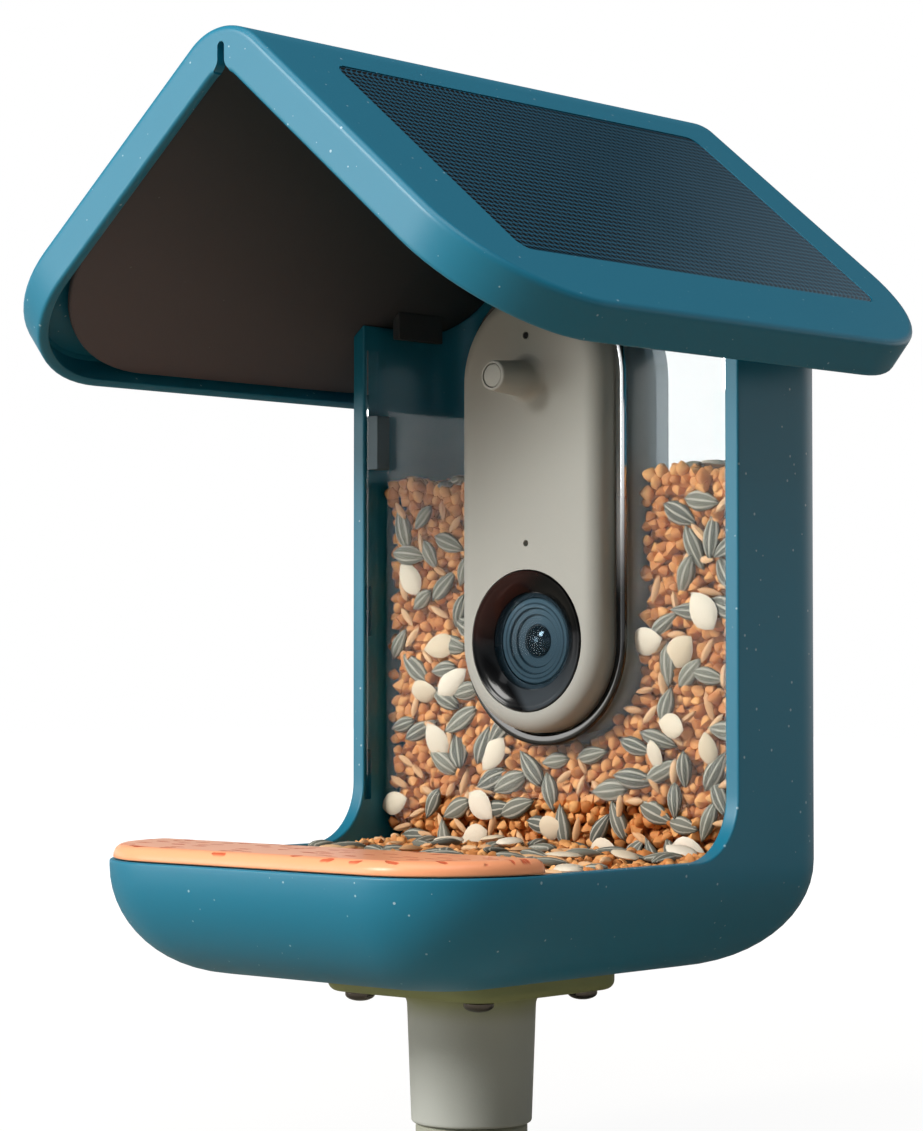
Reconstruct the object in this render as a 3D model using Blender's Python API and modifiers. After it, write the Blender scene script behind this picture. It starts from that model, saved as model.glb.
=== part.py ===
# Smart bird feeder on a pole: a hopper with a tray, a camera module and a lift-off solar roof.
# Metres, +Z up. The origin is on the pole's axis at the adapter's lower rim, and the tray faces -Y.
# The skilled feature is the pair of moulded shells: the one-piece body with its ball-cornered floor,
# swept side walls and rear rebate, and the roof folded over a rounded ridge.

import math

import bmesh
import bpy
from mathutils import Matrix, Vector

# Clearances
SEAT_GAP = 0.0003           # between pieces that touch on the real product
SLIDE_GAP = 0.0006          # round a piece that slides out
OVERRUN = 0.002             # how far every cutter runs past what it cuts

# Stack under the tray, from the ground side up
ADAPTER_STICKOUT = 0.0103
SLEEVE_LENGTH = 0.035
FLANGE_THICKNESS = 0.006

# Body: side walls, back, floor and tray in one moulding
BODY_WIDTH = 0.138
BODY_WALL = 0.0043
FLOOR_THICKNESS = 0.005
TRAY_REACH = 0.0844         # pole axis to the tray's front
WALL_FRONT = 0.0264         # pole axis to the side walls' front edges
BACK_REACH = 0.0708         # pole axis to the back wall's outer face
TRAY_HEIGHT = 0.0296
FRONT_CORNER_RADIUS = 0.031
REAR_CORNER_RADIUS = 0.016
FLOOR_CORNER_RADIUS = 0.012
FLOOR_FILLET = 0.028
WALL_SWEEP_RADIUS = 0.017   # where a side wall's front edge turns into the tray's rim

# Roof: a slab folded over the ridge, hollow from below
APEX_RISE = 0.2434          # floor's underside to where the two slopes would meet
ROOF_HALF_WIDTH = 0.0949
ROOF_DEPTH = 0.187
ROOF_THICKNESS = 0.0112
ROOF_SKIN = 0.003
ROOF_RIM_WALL = 0.003
ROOF_CORNER_RADIUS = 0.037
RIDGE_RADIUS = 0.0179
ROOF_EDGE_ROUND = 0.0016
SLOPE_SHARE = 0.83          # rise of a slope for each unit of its run

# Camera module: an upright capsule outline
LENS_RISE = 0.0571          # tray rim to the lens axis
MODULE_STRAIGHT = 0.0717    # between the centres of the capsule's two arcs
MODULE_RADIUS = 0.0252
MODULE_PROUD = 0.004        # module's face in front of the side walls
MODULE_DEPTH = 0.025
MODULE_WALL = 0.002

# Hopper window
WINDOW_SETBACK = 0.005      # window's face behind the side walls' front edges
WINDOW_THICKNESS = 0.002

# Derived levels and places
BODY_HALF = BODY_WIDTH / 2
INNER_HALF = BODY_HALF - BODY_WALL
FLANGE_UNDERSIDE = ADAPTER_STICKOUT + SLEEVE_LENGTH
FLOOR_UNDERSIDE = FLANGE_UNDERSIDE + FLANGE_THICKNESS + SEAT_GAP
FLOOR_TOP = FLOOR_UNDERSIDE + FLOOR_THICKNESS
TRAY_RIM = FLOOR_UNDERSIDE + TRAY_HEIGHT
APEX = FLOOR_UNDERSIDE + APEX_RISE
ROOF_HALF_DEPTH = ROOF_DEPTH / 2
LENS_AXIS = TRAY_RIM + LENS_RISE
PEG_AXIS = LENS_AXIS + MODULE_STRAIGHT
MODULE_FACE = WALL_FRONT - MODULE_PROUD
MODULE_REAR = MODULE_FACE + MODULE_DEPTH
WINDOW_FACE = WALL_FRONT + WINDOW_SETBACK
WINDOW_REAR = WINDOW_FACE + WINDOW_THICKNESS
BACK_INNER = BACK_REACH - BODY_WALL

# Smoothness of round forms, in facets
CORNER_STEPS = 7
FILLET_STEPS = 6
RIDGE_STEPS = 10
ROUND_STEPS = 24
SMALL_ROUND_STEPS = 14

# The slope's angle and the points that the fold needs
SLOPE_ANGLE = math.atan(SLOPE_SHARE)
RIDGE_CENTRE = APEX - RIDGE_RADIUS / math.cos(SLOPE_ANGLE)
RIDGE_ARC = RIDGE_RADIUS * SLOPE_ANGLE
EAVE_RUN = RIDGE_ARC + (ROOF_HALF_WIDTH - RIDGE_RADIUS * math.sin(SLOPE_ANGLE)) / math.cos(SLOPE_ANGLE)


for old_object in list(bpy.data.objects):
    bpy.data.objects.remove(old_object, do_unlink=True)

parts = bpy.data.collections.new("smart_bird_feeder")
cutters = bpy.data.collections.new("cutters")
bpy.context.scene.collection.children.link(parts)
bpy.context.scene.collection.children.link(cutters)


# Materials and objects

def plain_material(name, colour, roughness, metallic=0.0, alpha=1.0):
    material = bpy.data.materials.new(name)
    material.use_nodes = True
    shader = material.node_tree.nodes["Principled BSDF"]
    shader.inputs["Base Color"].default_value = (*colour, 1.0)
    shader.inputs["Roughness"].default_value = roughness
    shader.inputs["Metallic"].default_value = metallic
    shader.inputs["Alpha"].default_value = alpha
    material.diffuse_color = (*colour, alpha)
    return material


BLUE = (0.010, 0.125, 0.200)
DARK = (0.020, 0.022, 0.024)
CLEAR = (0.80, 0.86, 0.88)
STEEL = (0.60, 0.60, 0.60)
SEED_BROWN = (0.50, 0.30, 0.16)
BOARD_GREEN = (0.02, 0.16, 0.06)
MODULE_GREY = (0.42, 0.40, 0.37)


def as_part(solid, name, colour, roughness=0.5, metallic=0.0, alpha=1.0):
    # Names a finished solid, gives it its own material and files it with the parts
    solid.name = name
    solid.data.name = name
    solid.data.materials.clear()
    solid.data.materials.append(plain_material(name, colour, roughness, metallic, alpha))
    solid.data.shade_smooth()
    solid.data.set_sharp_from_angle(angle=math.radians(32))
    for holder in list(solid.users_collection):
        holder.objects.unlink(solid)
    parts.objects.link(solid)
    return solid


def as_cutter(solid):
    solid.hide_render = True
    solid.display_type = "WIRE"
    for holder in list(solid.users_collection):
        holder.objects.unlink(solid)
    cutters.objects.link(solid)
    return solid


def combine(solid, other, operation):
    modifier = solid.modifiers.new(operation.lower(), "BOOLEAN")
    modifier.operation = operation
    modifier.object = as_cutter(other)


def cut(solid, *others):
    for other in others:
        combine(solid, other, "DIFFERENCE")
    return solid


def join(solid, *others):
    for other in others:
        combine(solid, other, "UNION")
    return solid


def keep_inside(solid, limit):
    combine(solid, limit, "INTERSECT")
    return solid


def mesh_object(name, mesh):
    holder = bpy.data.objects.new(name, mesh)
    cutters.objects.link(holder)
    return holder


def set_origin(solid, point):
    # Moves the object's origin without moving its shape
    solid.data.transform(Matrix.Translation(-Vector(point)))
    solid.location = point


def axis_empty(name, point):
    # An empty that marks a joint: its pieces hang from it
    marker = bpy.data.objects.new(name, None)
    marker.location = point
    marker.empty_display_size = MODULE_RADIUS
    parts.objects.link(marker)
    return marker


def hang_on(marker, solids):
    bpy.context.view_layer.update()
    for solid in solids:
        solid.parent = marker
        solid.matrix_parent_inverse = marker.matrix_world.inverted()


# Outlines

def arc(centre, radius, start, end, steps):
    points = []
    for step in range(steps + 1):
        angle = start + (end - start) * step / steps
        points.append((centre[0] + radius * math.cos(angle), centre[1] + radius * math.sin(angle)))
    return points


def rounded_box(low, high, radii, steps=CORNER_STEPS):
    # A rectangle with a radius for each corner, from the low-low corner anticlockwise
    quarter = math.pi / 2
    centres = [
        (low[0] + radii[0], low[1] + radii[0]), (high[0] - radii[1], low[1] + radii[1]),
        (high[0] - radii[2], high[1] - radii[2]), (low[0] + radii[3], high[1] - radii[3]),
    ]
    points = []
    for corner, centre in enumerate(centres):
        start = math.pi + corner * quarter
        points += arc(centre, radii[corner], start, start + quarter, steps)
    return points


def capsule(radius, low=LENS_AXIS, high=PEG_AXIS, steps=2 * CORNER_STEPS):
    # The upright outline of the camera module, and of all that is set round it
    return arc((0, low), radius, math.pi, 2 * math.pi, steps) + arc((0, high), radius, 0, math.pi, steps)


def roof_point(run, depth):
    # A point of the roof's section: run along the surface from the ridge, depth square below it
    side = math.copysign(1, run)
    turned = min(abs(run) / RIDGE_RADIUS, SLOPE_ANGLE)
    straight = max(abs(run) - RIDGE_ARC, 0)
    reach = RIDGE_RADIUS - depth
    x = reach * math.sin(turned) + straight * math.cos(SLOPE_ANGLE)
    z = RIDGE_CENTRE + reach * math.cos(turned) - straight * math.sin(SLOPE_ANGLE)
    return side * x, z


def roof_line(depth, run):
    # The roof's section at one depth, from the left eave over the ridge to the right
    runs = [-run]
    for step in range(RIDGE_STEPS + 1):
        runs.append(RIDGE_ARC * (2 * step / RIDGE_STEPS - 1))
    runs.append(run)
    return [roof_point(value, depth) for value in runs]


# Solids

def plate(outlines, low, high, plane):
    # A flat outline filled and given a thickness between two levels across its plane
    curve = bpy.data.curves.new("outline", "CURVE")
    curve.dimensions = "2D"
    curve.fill_mode = "BOTH"
    curve.extrude = (high - low) / 2
    for points in outlines:
        spline = curve.splines.new("POLY")
        spline.points.add(len(points) - 1)
        for target, (u, v) in zip(spline.points, points):
            target.co = (u, v, 0, 1)
        spline.use_cyclic_u = True
    drawn = bpy.data.objects.new("outline", curve)
    bpy.context.scene.collection.objects.link(drawn)
    middle = (low + high) / 2
    if plane == "XY":
        placed = Matrix.Translation((0, 0, middle))
    elif plane == "XZ":
        placed = Matrix.Translation((0, middle, 0)) @ Matrix.Rotation(math.pi / 2, 4, "X")
    else:
        turn = Matrix(((0, 0, 1, 0), (1, 0, 0, 0), (0, 1, 0, 0), (0, 0, 0, 1)))
        placed = Matrix.Translation((middle, 0, 0)) @ turn
    bpy.context.view_layer.update()
    mesh = bpy.data.meshes.new_from_object(drawn.evaluated_get(bpy.context.evaluated_depsgraph_get()))
    bpy.data.objects.remove(drawn, do_unlink=True)
    mesh.transform(placed)
    shape = bmesh.new()
    shape.from_mesh(mesh)
    bmesh.ops.remove_doubles(shape, verts=shape.verts, dist=SEAT_GAP / 100)
    bmesh.ops.dissolve_limit(shape, angle_limit=math.radians(0.2), verts=shape.verts, edges=shape.edges)
    bmesh.ops.recalc_face_normals(shape, faces=shape.faces)
    shape.to_mesh(mesh)
    shape.free()
    mesh.materials.clear()
    return mesh_object("plate", mesh)


def box(low, high):
    size = [high[axis] - low[axis] for axis in range(3)]
    middle = [(high[axis] + low[axis]) / 2 for axis in range(3)]
    mesh = bpy.data.meshes.new("box")
    shape = bmesh.new()
    bmesh.ops.create_cube(shape, size=1)
    bmesh.ops.scale(shape, vec=size, verts=shape.verts)
    bmesh.ops.translate(shape, vec=middle, verts=shape.verts)
    shape.to_mesh(mesh)
    shape.free()
    return mesh_object("box", mesh)


def rod(start, direction, length, radius, steps=ROUND_STEPS):
    # A round bar from a start point along a direction
    mesh = bpy.data.meshes.new("rod")
    shape = bmesh.new()
    bmesh.ops.create_cone(
        shape, cap_ends=True, segments=steps, radius1=radius, radius2=radius, depth=length
    )
    way = Vector(direction).normalized()
    turn = way.to_track_quat("Z", "Y").to_matrix().to_4x4()
    shape.transform(Matrix.Translation(Vector(start) + way * (length / 2)) @ turn)
    shape.to_mesh(mesh)
    shape.free()
    return mesh_object("rod", mesh)


def turned(profile, closed, place, facing_front, steps=ROUND_STEPS, spin=0):
    # A profile of (radius, height) pairs, down its outer side, turned round the local Z axis
    mesh = bpy.data.meshes.new("turned")
    shape = bmesh.new()
    points = [shape.verts.new((radius, 0, height)) for radius, height in profile]
    for first, second in zip(points, points[1:]):
        shape.edges.new((first, second))
    if closed:
        shape.edges.new((points[-1], points[0]))
    shape.to_mesh(mesh)
    shape.free()
    solid = mesh_object("turned", mesh)
    screw = solid.modifiers.new("turn", "SCREW")
    screw.axis = "Z"
    screw.steps = steps
    screw.render_steps = steps
    screw.use_merge_vertices = True
    screw.merge_threshold = SEAT_GAP / 30
    solid.location = place
    if facing_front:
        solid.rotation_euler = (math.pi / 2, spin, 0)
    return solid


def loft(rings):
    # A closed solid through rings of equally many points
    mesh = bpy.data.meshes.new("loft")
    shape = bmesh.new()
    rows = [[shape.verts.new(point) for point in ring] for ring in rings]
    count = len(rows[0])
    for lower, upper in zip(rows, rows[1:]):
        for place in range(count):
            after = (place + 1) % count
            shape.faces.new((lower[place], lower[after], upper[after], upper[place]))
    shape.faces.new(list(reversed(rows[0])))
    shape.faces.new(rows[-1])
    bmesh.ops.recalc_face_normals(shape, faces=shape.faces)
    shape.to_mesh(mesh)
    shape.free()
    return mesh_object("loft", mesh)


def round_edges(solid, chosen, width, segments):
    # Rounds the edges whose middle point and direction pass a test
    shape = bmesh.new()
    shape.from_mesh(solid.data)
    picked = []
    for edge in shape.edges:
        if len(edge.link_faces) == 2 and edge.calc_face_angle(0) > math.radians(35):
            middle = (edge.verts[0].co + edge.verts[1].co) / 2
            way = (edge.verts[1].co - edge.verts[0].co).normalized()
            if chosen(middle, way):
                picked.append(edge)
    bmesh.ops.bevel(
        shape, geom=picked, offset=width, segments=segments, profile=0.5, affect="EDGES", clamp_overlap=True
    )
    shape.to_mesh(solid.data)
    shape.free()
    return solid


def even_places(low, high, pitch):
    # Places between two ends, the same distance apart and at least a pitch
    count = int((high - low) / pitch)
    return [low + (high - low) * (place + 0.5) / count for place in range(count)]


def body_rings(inset, floor, top):
    # Rings of the body's outer form drawn in by an inset, from its floor's fillet up to a level
    fillet = FLOOR_FILLET - inset
    rings = []
    for step in range(FILLET_STEPS + 1):
        angle = math.pi / 2 * step / FILLET_STEPS
        drawn = inset + fillet * (1 - math.sin(angle))
        level = floor + fillet * (1 - math.cos(angle))
        share = (drawn - inset) / fillet
        front = (FRONT_CORNER_RADIUS - inset) * (1 - share) + FLOOR_CORNER_RADIUS * share
        rear = (REAR_CORNER_RADIUS - inset) * (1 - share) + FLOOR_CORNER_RADIUS * share
        rings.append(body_ring(drawn, level, front, rear))
    rings.append(body_ring(inset, top, FRONT_CORNER_RADIUS - inset, REAR_CORNER_RADIUS - inset))
    return rings


def body_ring(inset, level, front, rear):
    low = (inset - BODY_HALF, inset - TRAY_REACH)
    high = (BODY_HALF - inset, BACK_REACH - inset)
    return [(x, y, level) for x, y in rounded_box(low, high, (front, front, rear, rear))]


def inside_of_body(clearance):
    # The space in the body, less a clearance: what lies in it is trimmed to this
    return loft(body_rings(BODY_WALL + clearance, FLOOR_TOP + clearance, APEX))


def roof_sheet(run, half_depth, corner, depth, thickness, folds=RIDGE_STEPS):
    # A rounded rectangle folded over the ridge at a depth below the roof's surface, then thickened
    outline = rounded_box((-run, -half_depth), (run, half_depth), (corner,) * 4)
    mesh = bpy.data.meshes.new("sheet")
    shape = bmesh.new()
    shape.faces.new([shape.verts.new((u, v, 0)) for u, v in outline])
    for step in range(folds + 1):
        line = RIDGE_ARC * (2 * step / folds - 1)
        everything = shape.verts[:] + shape.edges[:] + shape.faces[:]
        bmesh.ops.bisect_plane(shape, geom=everything, plane_co=(line, 0, 0), plane_no=(1, 0, 0))
    for point in shape.verts:
        x, z = roof_point(point.co.x, depth)
        point.co = (x, point.co.y, z)
    shape.to_mesh(mesh)
    shape.free()
    sheet = mesh_object("sheet", mesh)
    solidify = sheet.modifiers.new("thickness", "SOLIDIFY")
    solidify.thickness = thickness
    solidify.offset = -1
    solidify.use_even_offset = True
    return sheet


def on_slope(side, run, depth):
    # A frame on a slope: X down the slope, Z out of it, at a run from the ridge and a depth below
    x, z = roof_point(side * run, depth)
    down = Vector((side * math.cos(SLOPE_ANGLE), 0, -math.sin(SLOPE_ANGLE)))
    out = Vector((side * math.sin(SLOPE_ANGLE), 0, math.cos(SLOPE_ANGLE)))
    across = out.cross(down)
    frame = Matrix((down, across, out)).transposed().to_4x4()
    return Matrix.Translation((x, 0, z)) @ frame


# Body moulding, with the bracket's bosses, drain holes, and the hatch's rebate and hinge knuckles

BOSS_RADIUS = 0.005
BOSS_HEIGHT = 0.008
SCREW_SPACING = 0.042
SCREW_HOLE_RADIUS = 0.0023
SCREW_PLACES_SHARE = ((-0.5, -0.5), (0.5, -0.5), (0.5, 0.5), (-0.5, 0.5))
DRAIN_RADIUS = 0.0015
DRAIN_PITCH = 0.012
DRAIN_ROW = 0.040           # pole axis to the row of drain holes in the tray
DRAINS = 5
HATCH_HALF_WIDTH = 0.053
HATCH_HEIGHT = 0.128
HATCH_SILL = 0.0168         # tray rim to the lower edge of the hatch's rebate
HATCH_LIP = 0.004
HATCH_CORNER = 0.009
HATCH_THICKNESS = 0.0022
KNUCKLE_RADIUS = 0.0028
KNUCKLE_LENGTH = 0.006
KNUCKLE_PLACE = 0.036       # hatch's middle to the middle of each hinge
PIN_RADIUS = 0.0012
PIN_GAP = 0.00008
SNAP_SLOT_WIDTH = 0.0029
SNAP_SLOT_HEIGHT = 0.0145
SNAP_SLOT_DEPTH = 0.0015
SNAP_SLOT_RISES = (0.0118, 0.0588)      # tray rim to the lower edge of each snap slot
LINER_DEPTH = 0.0064        # roof's surface to the liner's upper face
LINER_THICKNESS = 0.002

HATCH_LOW = TRAY_RIM + HATCH_SILL
HATCH_HIGH = HATCH_LOW + HATCH_HEIGHT
HINGE_Y = BACK_REACH + SEAT_GAP + KNUCKLE_RADIUS
HINGE_Z = HATCH_LOW
WALL_TOP_DEPTH = LINER_DEPTH + LINER_THICKNESS + SEAT_GAP


def screw_places():
    return [(SCREW_SPACING * across, SCREW_SPACING * along) for across, along in SCREW_PLACES_SHARE]


def hatch_outline(inset):
    radius = HATCH_CORNER - inset
    low = (inset - HATCH_HALF_WIDTH, HATCH_LOW + inset)
    high = (HATCH_HALF_WIDTH - inset, HATCH_HIGH - inset)
    return rounded_box(low, high, (radius,) * 4, steps=4)


def above_roof_line(depth, low, high):
    # Everything above the roof's section at a depth: trims what stands under the roof
    line = roof_line(depth, EAVE_RUN)
    top = APEX + OVERRUN
    return plate([line + [(line[-1][0], top), (line[0][0], top)]], low, high, "XZ")


def knuckle(middle, length, radius):
    return rod((middle - length / 2, HINGE_Y, HINGE_Z), (1, 0, 0), length, radius, SMALL_ROUND_STEPS)


def housing_knuckles(side):
    # Two knuckles either side of the hatch's own, on a web under the hinge's axis
    solids = []
    for outward in (-1, 1):
        middle = side * KNUCKLE_PLACE + outward * (KNUCKLE_LENGTH + SEAT_GAP)
        half = KNUCKLE_LENGTH / 2
        web = box(
            (middle - half, BACK_REACH - HATCH_THICKNESS, HINGE_Z - KNUCKLE_RADIUS),
            (middle + half, HINGE_Y, HINGE_Z - PIN_RADIUS),
        )
        solids += [knuckle(middle, KNUCKLE_LENGTH, KNUCKLE_RADIUS), web]
    return solids


def make_housing():
    shell = loft(body_rings(0, FLOOR_UNDERSIDE, APEX))
    cut(shell, inside_of_body(0))

    # The front is open above the rim: a side wall's edge sweeps down into the tray
    centre = (WALL_FRONT - WALL_SWEEP_RADIUS, TRAY_RIM + WALL_SWEEP_RADIUS)
    sweep = arc(centre, WALL_SWEEP_RADIUS, -math.pi / 2, 0, CORNER_STEPS)
    far = -TRAY_REACH - OVERRUN
    top = APEX + OVERRUN
    side = BODY_HALF + OVERRUN
    cut(shell, plate([[(far, TRAY_RIM)] + sweep + [(WALL_FRONT, top), (far, top)]], -side, side, "YZ"))
    cut(shell, above_roof_line(WALL_TOP_DEPTH, WALL_FRONT - OVERRUN, BACK_REACH + OVERRUN))

    # The hatch's rebate, and the opening inside its lip
    rebate = BACK_REACH - HATCH_THICKNESS - SEAT_GAP
    cut(shell, plate([hatch_outline(0)], rebate, BACK_REACH + OVERRUN, "XZ"))
    cut(shell, plate([hatch_outline(HATCH_LIP)], BACK_INNER - OVERRUN, BACK_REACH, "XZ"))
    for side in (-1, 1):
        join(shell, *housing_knuckles(side))
    for side in (-1, 1):
        cut(shell, knuckle(side * KNUCKLE_PLACE, 4 * KNUCKLE_LENGTH, PIN_RADIUS + PIN_GAP))

    # Bosses for the bracket's screws, open below
    for x, y in screw_places():
        join(shell, rod((x, y, FLOOR_TOP - SEAT_GAP), (0, 0, 1), BOSS_HEIGHT, BOSS_RADIUS, SMALL_ROUND_STEPS))
    for x, y in screw_places():
        depth = FLOOR_THICKNESS + BOSS_HEIGHT - BODY_WALL / 2
        start = (x, y, FLOOR_UNDERSIDE - OVERRUN)
        cut(shell, rod(start, (0, 0, 1), depth + OVERRUN, SCREW_HOLE_RADIUS, SMALL_ROUND_STEPS))

    # Drain holes along the tray
    for place in range(DRAINS):
        x = DRAIN_PITCH * (place - (DRAINS - 1) / 2)
        start = (x, -DRAIN_ROW, FLOOR_UNDERSIDE - OVERRUN)
        cut(shell, rod(start, (0, 0, 1), FLOOR_THICKNESS + 2 * OVERRUN, DRAIN_RADIUS, steps=10))

    # Slots inside the side walls' front edges, where the window snaps in
    for side in (-1, 1):
        for rise in SNAP_SLOT_RISES:
            ends = sorted((side * (INNER_HALF - OVERRUN), side * (INNER_HALF + SNAP_SLOT_DEPTH)))
            low = TRAY_RIM + rise
            cut(shell, box(
                (ends[0], WALL_FRONT + SEAT_GAP, low),
                (ends[1], WALL_FRONT + SEAT_GAP + SNAP_SLOT_WIDTH, low + SNAP_SLOT_HEIGHT),
            ))
    return as_part(shell, "housing_shell", BLUE, 0.35)


# Perch: a cap along the tray's front with a plug that sits inside the walls

PERCH_DEPTH = 0.0364
PERCH_THICKNESS = 0.0037
PERCH_EDGE = 0.001          # how far its edge stays inside the tray's outer face
PERCH_ROUND = 0.0030
PERCH_CORNER = 0.0034
PLUG_DEPTH = 0.007
PLUG_SETBACK = 0.0015       # how far the plug's rear stays ahead of the cap's
PERCH_BACK = PERCH_DEPTH - TRAY_REACH


def make_perch():
    edge = BODY_HALF - PERCH_EDGE
    front = PERCH_EDGE - TRAY_REACH
    corner = FRONT_CORNER_RADIUS - PERCH_EDGE
    outline = rounded_box((-edge, front), (edge, PERCH_BACK), (corner, corner, PERCH_CORNER, PERCH_CORNER))
    low = TRAY_RIM + SEAT_GAP
    cap = plate([outline], low, low + PERCH_THICKNESS, "XY")
    upper = low + PERCH_THICKNESS / 2
    round_edges(cap, lambda middle, way: middle.z > upper and abs(way.z) < 0.5, PERCH_ROUND, 4)
    plug = box(
        (-BODY_HALF, -TRAY_REACH, TRAY_RIM - PLUG_DEPTH),
        (BODY_HALF, PERCH_BACK - PLUG_SETBACK, low + PERCH_EDGE),
    )
    join(cap, keep_inside(plug, inside_of_body(SEAT_GAP)))
    return as_part(cap, "perch_insert", (0.80, 0.32, 0.14), 0.4)


# Window: a clear moulding with returned sides, a feed arch below and the camera's collar and pocket

WINDOW_RETURN = 0.030
WINDOW_CORNER = 0.0024
COLLAR_WALL = 0.0029
COLLAR_PROUD = 0.0005
BEZEL_THICKNESS = 0.0012
ARCH_HALF_WIDTH = 0.050
ARCH_HEIGHT = 0.038
ARCH_CORNER = 0.010
TAB_WIDTH = 0.0041
TAB_HEIGHT = 0.0155
TAB_PROUD = 0.0008
TAB_RISE = 0.1068           # tray rim to the lower edge of the window's front tabs

POCKET_RADIUS = MODULE_RADIUS + SLIDE_GAP
COLLAR_RADIUS = POCKET_RADIUS + COLLAR_WALL
COLLAR_FACE = WINDOW_FACE - COLLAR_PROUD
POCKET_FLOOR = MODULE_REAR + SLIDE_GAP
POCKET_REAR = POCKET_FLOOR + WINDOW_THICKNESS
WINDOW_HALF = INNER_HALF - SEAT_GAP
HOPPER_HALF = WINDOW_HALF - WINDOW_THICKNESS - SEAT_GAP


def make_window():
    back = WINDOW_FACE + WINDOW_RETURN
    outer = [(-WINDOW_HALF, back)]
    outer += arc((WINDOW_CORNER - WINDOW_HALF, WINDOW_FACE + WINDOW_CORNER), WINDOW_CORNER,
                 math.pi, 1.5 * math.pi, 4)
    outer += [(-x, y) for x, y in reversed(outer)]
    inner_half = WINDOW_HALF - WINDOW_THICKNESS
    inner_round = WINDOW_CORNER - WINDOW_THICKNESS
    inner = [(-inner_half, back)]
    inner += arc((WINDOW_CORNER - WINDOW_HALF, WINDOW_FACE + WINDOW_CORNER), inner_round,
                 math.pi, 1.5 * math.pi, 4)
    inner += [(-x, y) for x, y in reversed(inner)]
    pane = plate([outer + list(reversed(inner))], FLOOR_TOP, APEX, "XY")
    keep_inside(pane, inside_of_body(SEAT_GAP))
    cut(pane, above_roof_line(WALL_TOP_DEPTH, WINDOW_FACE - OVERRUN, back + OVERRUN))
    corners = (0, 0, ARCH_CORNER, ARCH_CORNER)
    arch_top = FLOOR_TOP + ARCH_HEIGHT
    arch = rounded_box((-ARCH_HALF_WIDTH, FLOOR_UNDERSIDE), (ARCH_HALF_WIDTH, arch_top), corners)
    cut(pane, plate([arch[CORNER_STEPS:-1]], WINDOW_FACE - OVERRUN, WINDOW_REAR + OVERRUN, "XZ"))
    for side in (-1, 1):
        ends = sorted((side * (WINDOW_HALF - TAB_WIDTH), side * WINDOW_HALF))
        low = TRAY_RIM + TAB_RISE
        join(pane, box(
            (ends[0], WINDOW_FACE - TAB_PROUD, low),
            (ends[1], WINDOW_FACE + WINDOW_CORNER / 2, low + TAB_HEIGHT),
        ))
    join(pane, plate([capsule(COLLAR_RADIUS)], COLLAR_FACE, POCKET_REAR, "XZ"))
    cut(pane, plate([capsule(POCKET_RADIUS)], COLLAR_FACE - OVERRUN, POCKET_FLOOR, "XZ"))
    port = LENS_AXIS - PORT_DROP
    cut(pane, box(
        (-PORT_HALF_WIDTH - SLIDE_GAP, POCKET_FLOOR - OVERRUN, port - PORT_HEIGHT),
        (PORT_HALF_WIDTH + SLIDE_GAP, POCKET_REAR + OVERRUN, port + PORT_HEIGHT),
    ))
    return as_part(pane, "hopper_window", CLEAR, 0.05, alpha=0.25)


def make_pocket_bezel():
    rear = COLLAR_FACE - SEAT_GAP
    ring = plate([capsule(COLLAR_RADIUS)], rear - BEZEL_THICKNESS, rear, "XZ")
    front = rear - BEZEL_THICKNESS
    round_edges(ring, lambda middle, way: middle.y < front + BEZEL_THICKNESS / 4, BEZEL_THICKNESS / 2, 2)
    cut(ring, plate([capsule(POCKET_RADIUS)], rear - BEZEL_THICKNESS - OVERRUN, rear + OVERRUN, "XZ"))
    return as_part(ring, "pocket_bezel", DARK, 0.08)


# Hopper floor and the seed it holds

RAMP_THICKNESS = 0.002
SEED_RISE = 0.1033          # tray rim to the seed's level in the hopper
HEAP_RISE = 0.0088          # tray rim to the seed at the foot of the window
HEAP_DIP = 0.001            # tray rim down to the seed behind the perch
BIG_SEED_LENGTH = 0.012
BIG_SEED_WIDTH = 0.007
BIG_SEED_HEIGHT = 0.0058
BIG_SEED_SINK = 0.0004
BIG_SEED_PITCH = 0.019
BIG_SEED_TURN = math.pi * (3 - math.sqrt(5))

RAMP_FRONT = WINDOW_REAR + SEAT_GAP
RAMP_BACK = BACK_INNER - SEAT_GAP
RAMP_LOW = FLOOR_TOP + SEAT_GAP
RAMP_HIGH = HATCH_LOW + HATCH_LIP


def make_ramp():
    outline = [
        (RAMP_FRONT, RAMP_LOW), (RAMP_FRONT + RAMP_THICKNESS, RAMP_LOW),
        (RAMP_BACK, RAMP_HIGH - RAMP_THICKNESS), (RAMP_BACK, RAMP_HIGH),
    ]
    half = HOPPER_HALF - WINDOW_CORNER + WINDOW_THICKNESS
    ramp = plate([outline], -half, half, "YZ")
    keep_inside(ramp, inside_of_body(SEAT_GAP))
    return as_part(ramp, "feed_ramp", BLUE, 0.4)


def ramp_level(y):
    return RAMP_LOW + (RAMP_HIGH - RAMP_LOW) * (y - RAMP_FRONT) / (RAMP_BACK - RAMP_FRONT)


def big_seeds(spots, out, across):
    # Pointed seeds sunk to just over half in a face, each turned on from the last by the same angle
    mesh = bpy.data.meshes.new("big_seeds")
    shape = bmesh.new()
    size = Matrix.Diagonal((BIG_SEED_HEIGHT / 2, BIG_SEED_WIDTH / 2, BIG_SEED_LENGTH / 2, 1))
    out, across = Vector(out), Vector(across)
    along = out.cross(across)
    for number, spot in enumerate(spots):
        bearing = number * BIG_SEED_TURN
        way = across * math.cos(bearing) + along * math.sin(bearing)
        turn = Matrix((out, way.cross(out), way)).transposed().to_4x4()
        place = Matrix.Translation(Vector(spot) - out * BIG_SEED_SINK) @ turn @ size
        bmesh.ops.create_uvsphere(shape, u_segments=4, v_segments=3, radius=1, matrix=place)
    shape.to_mesh(mesh)
    shape.free()
    return mesh_object("big_seeds", mesh)


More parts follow.
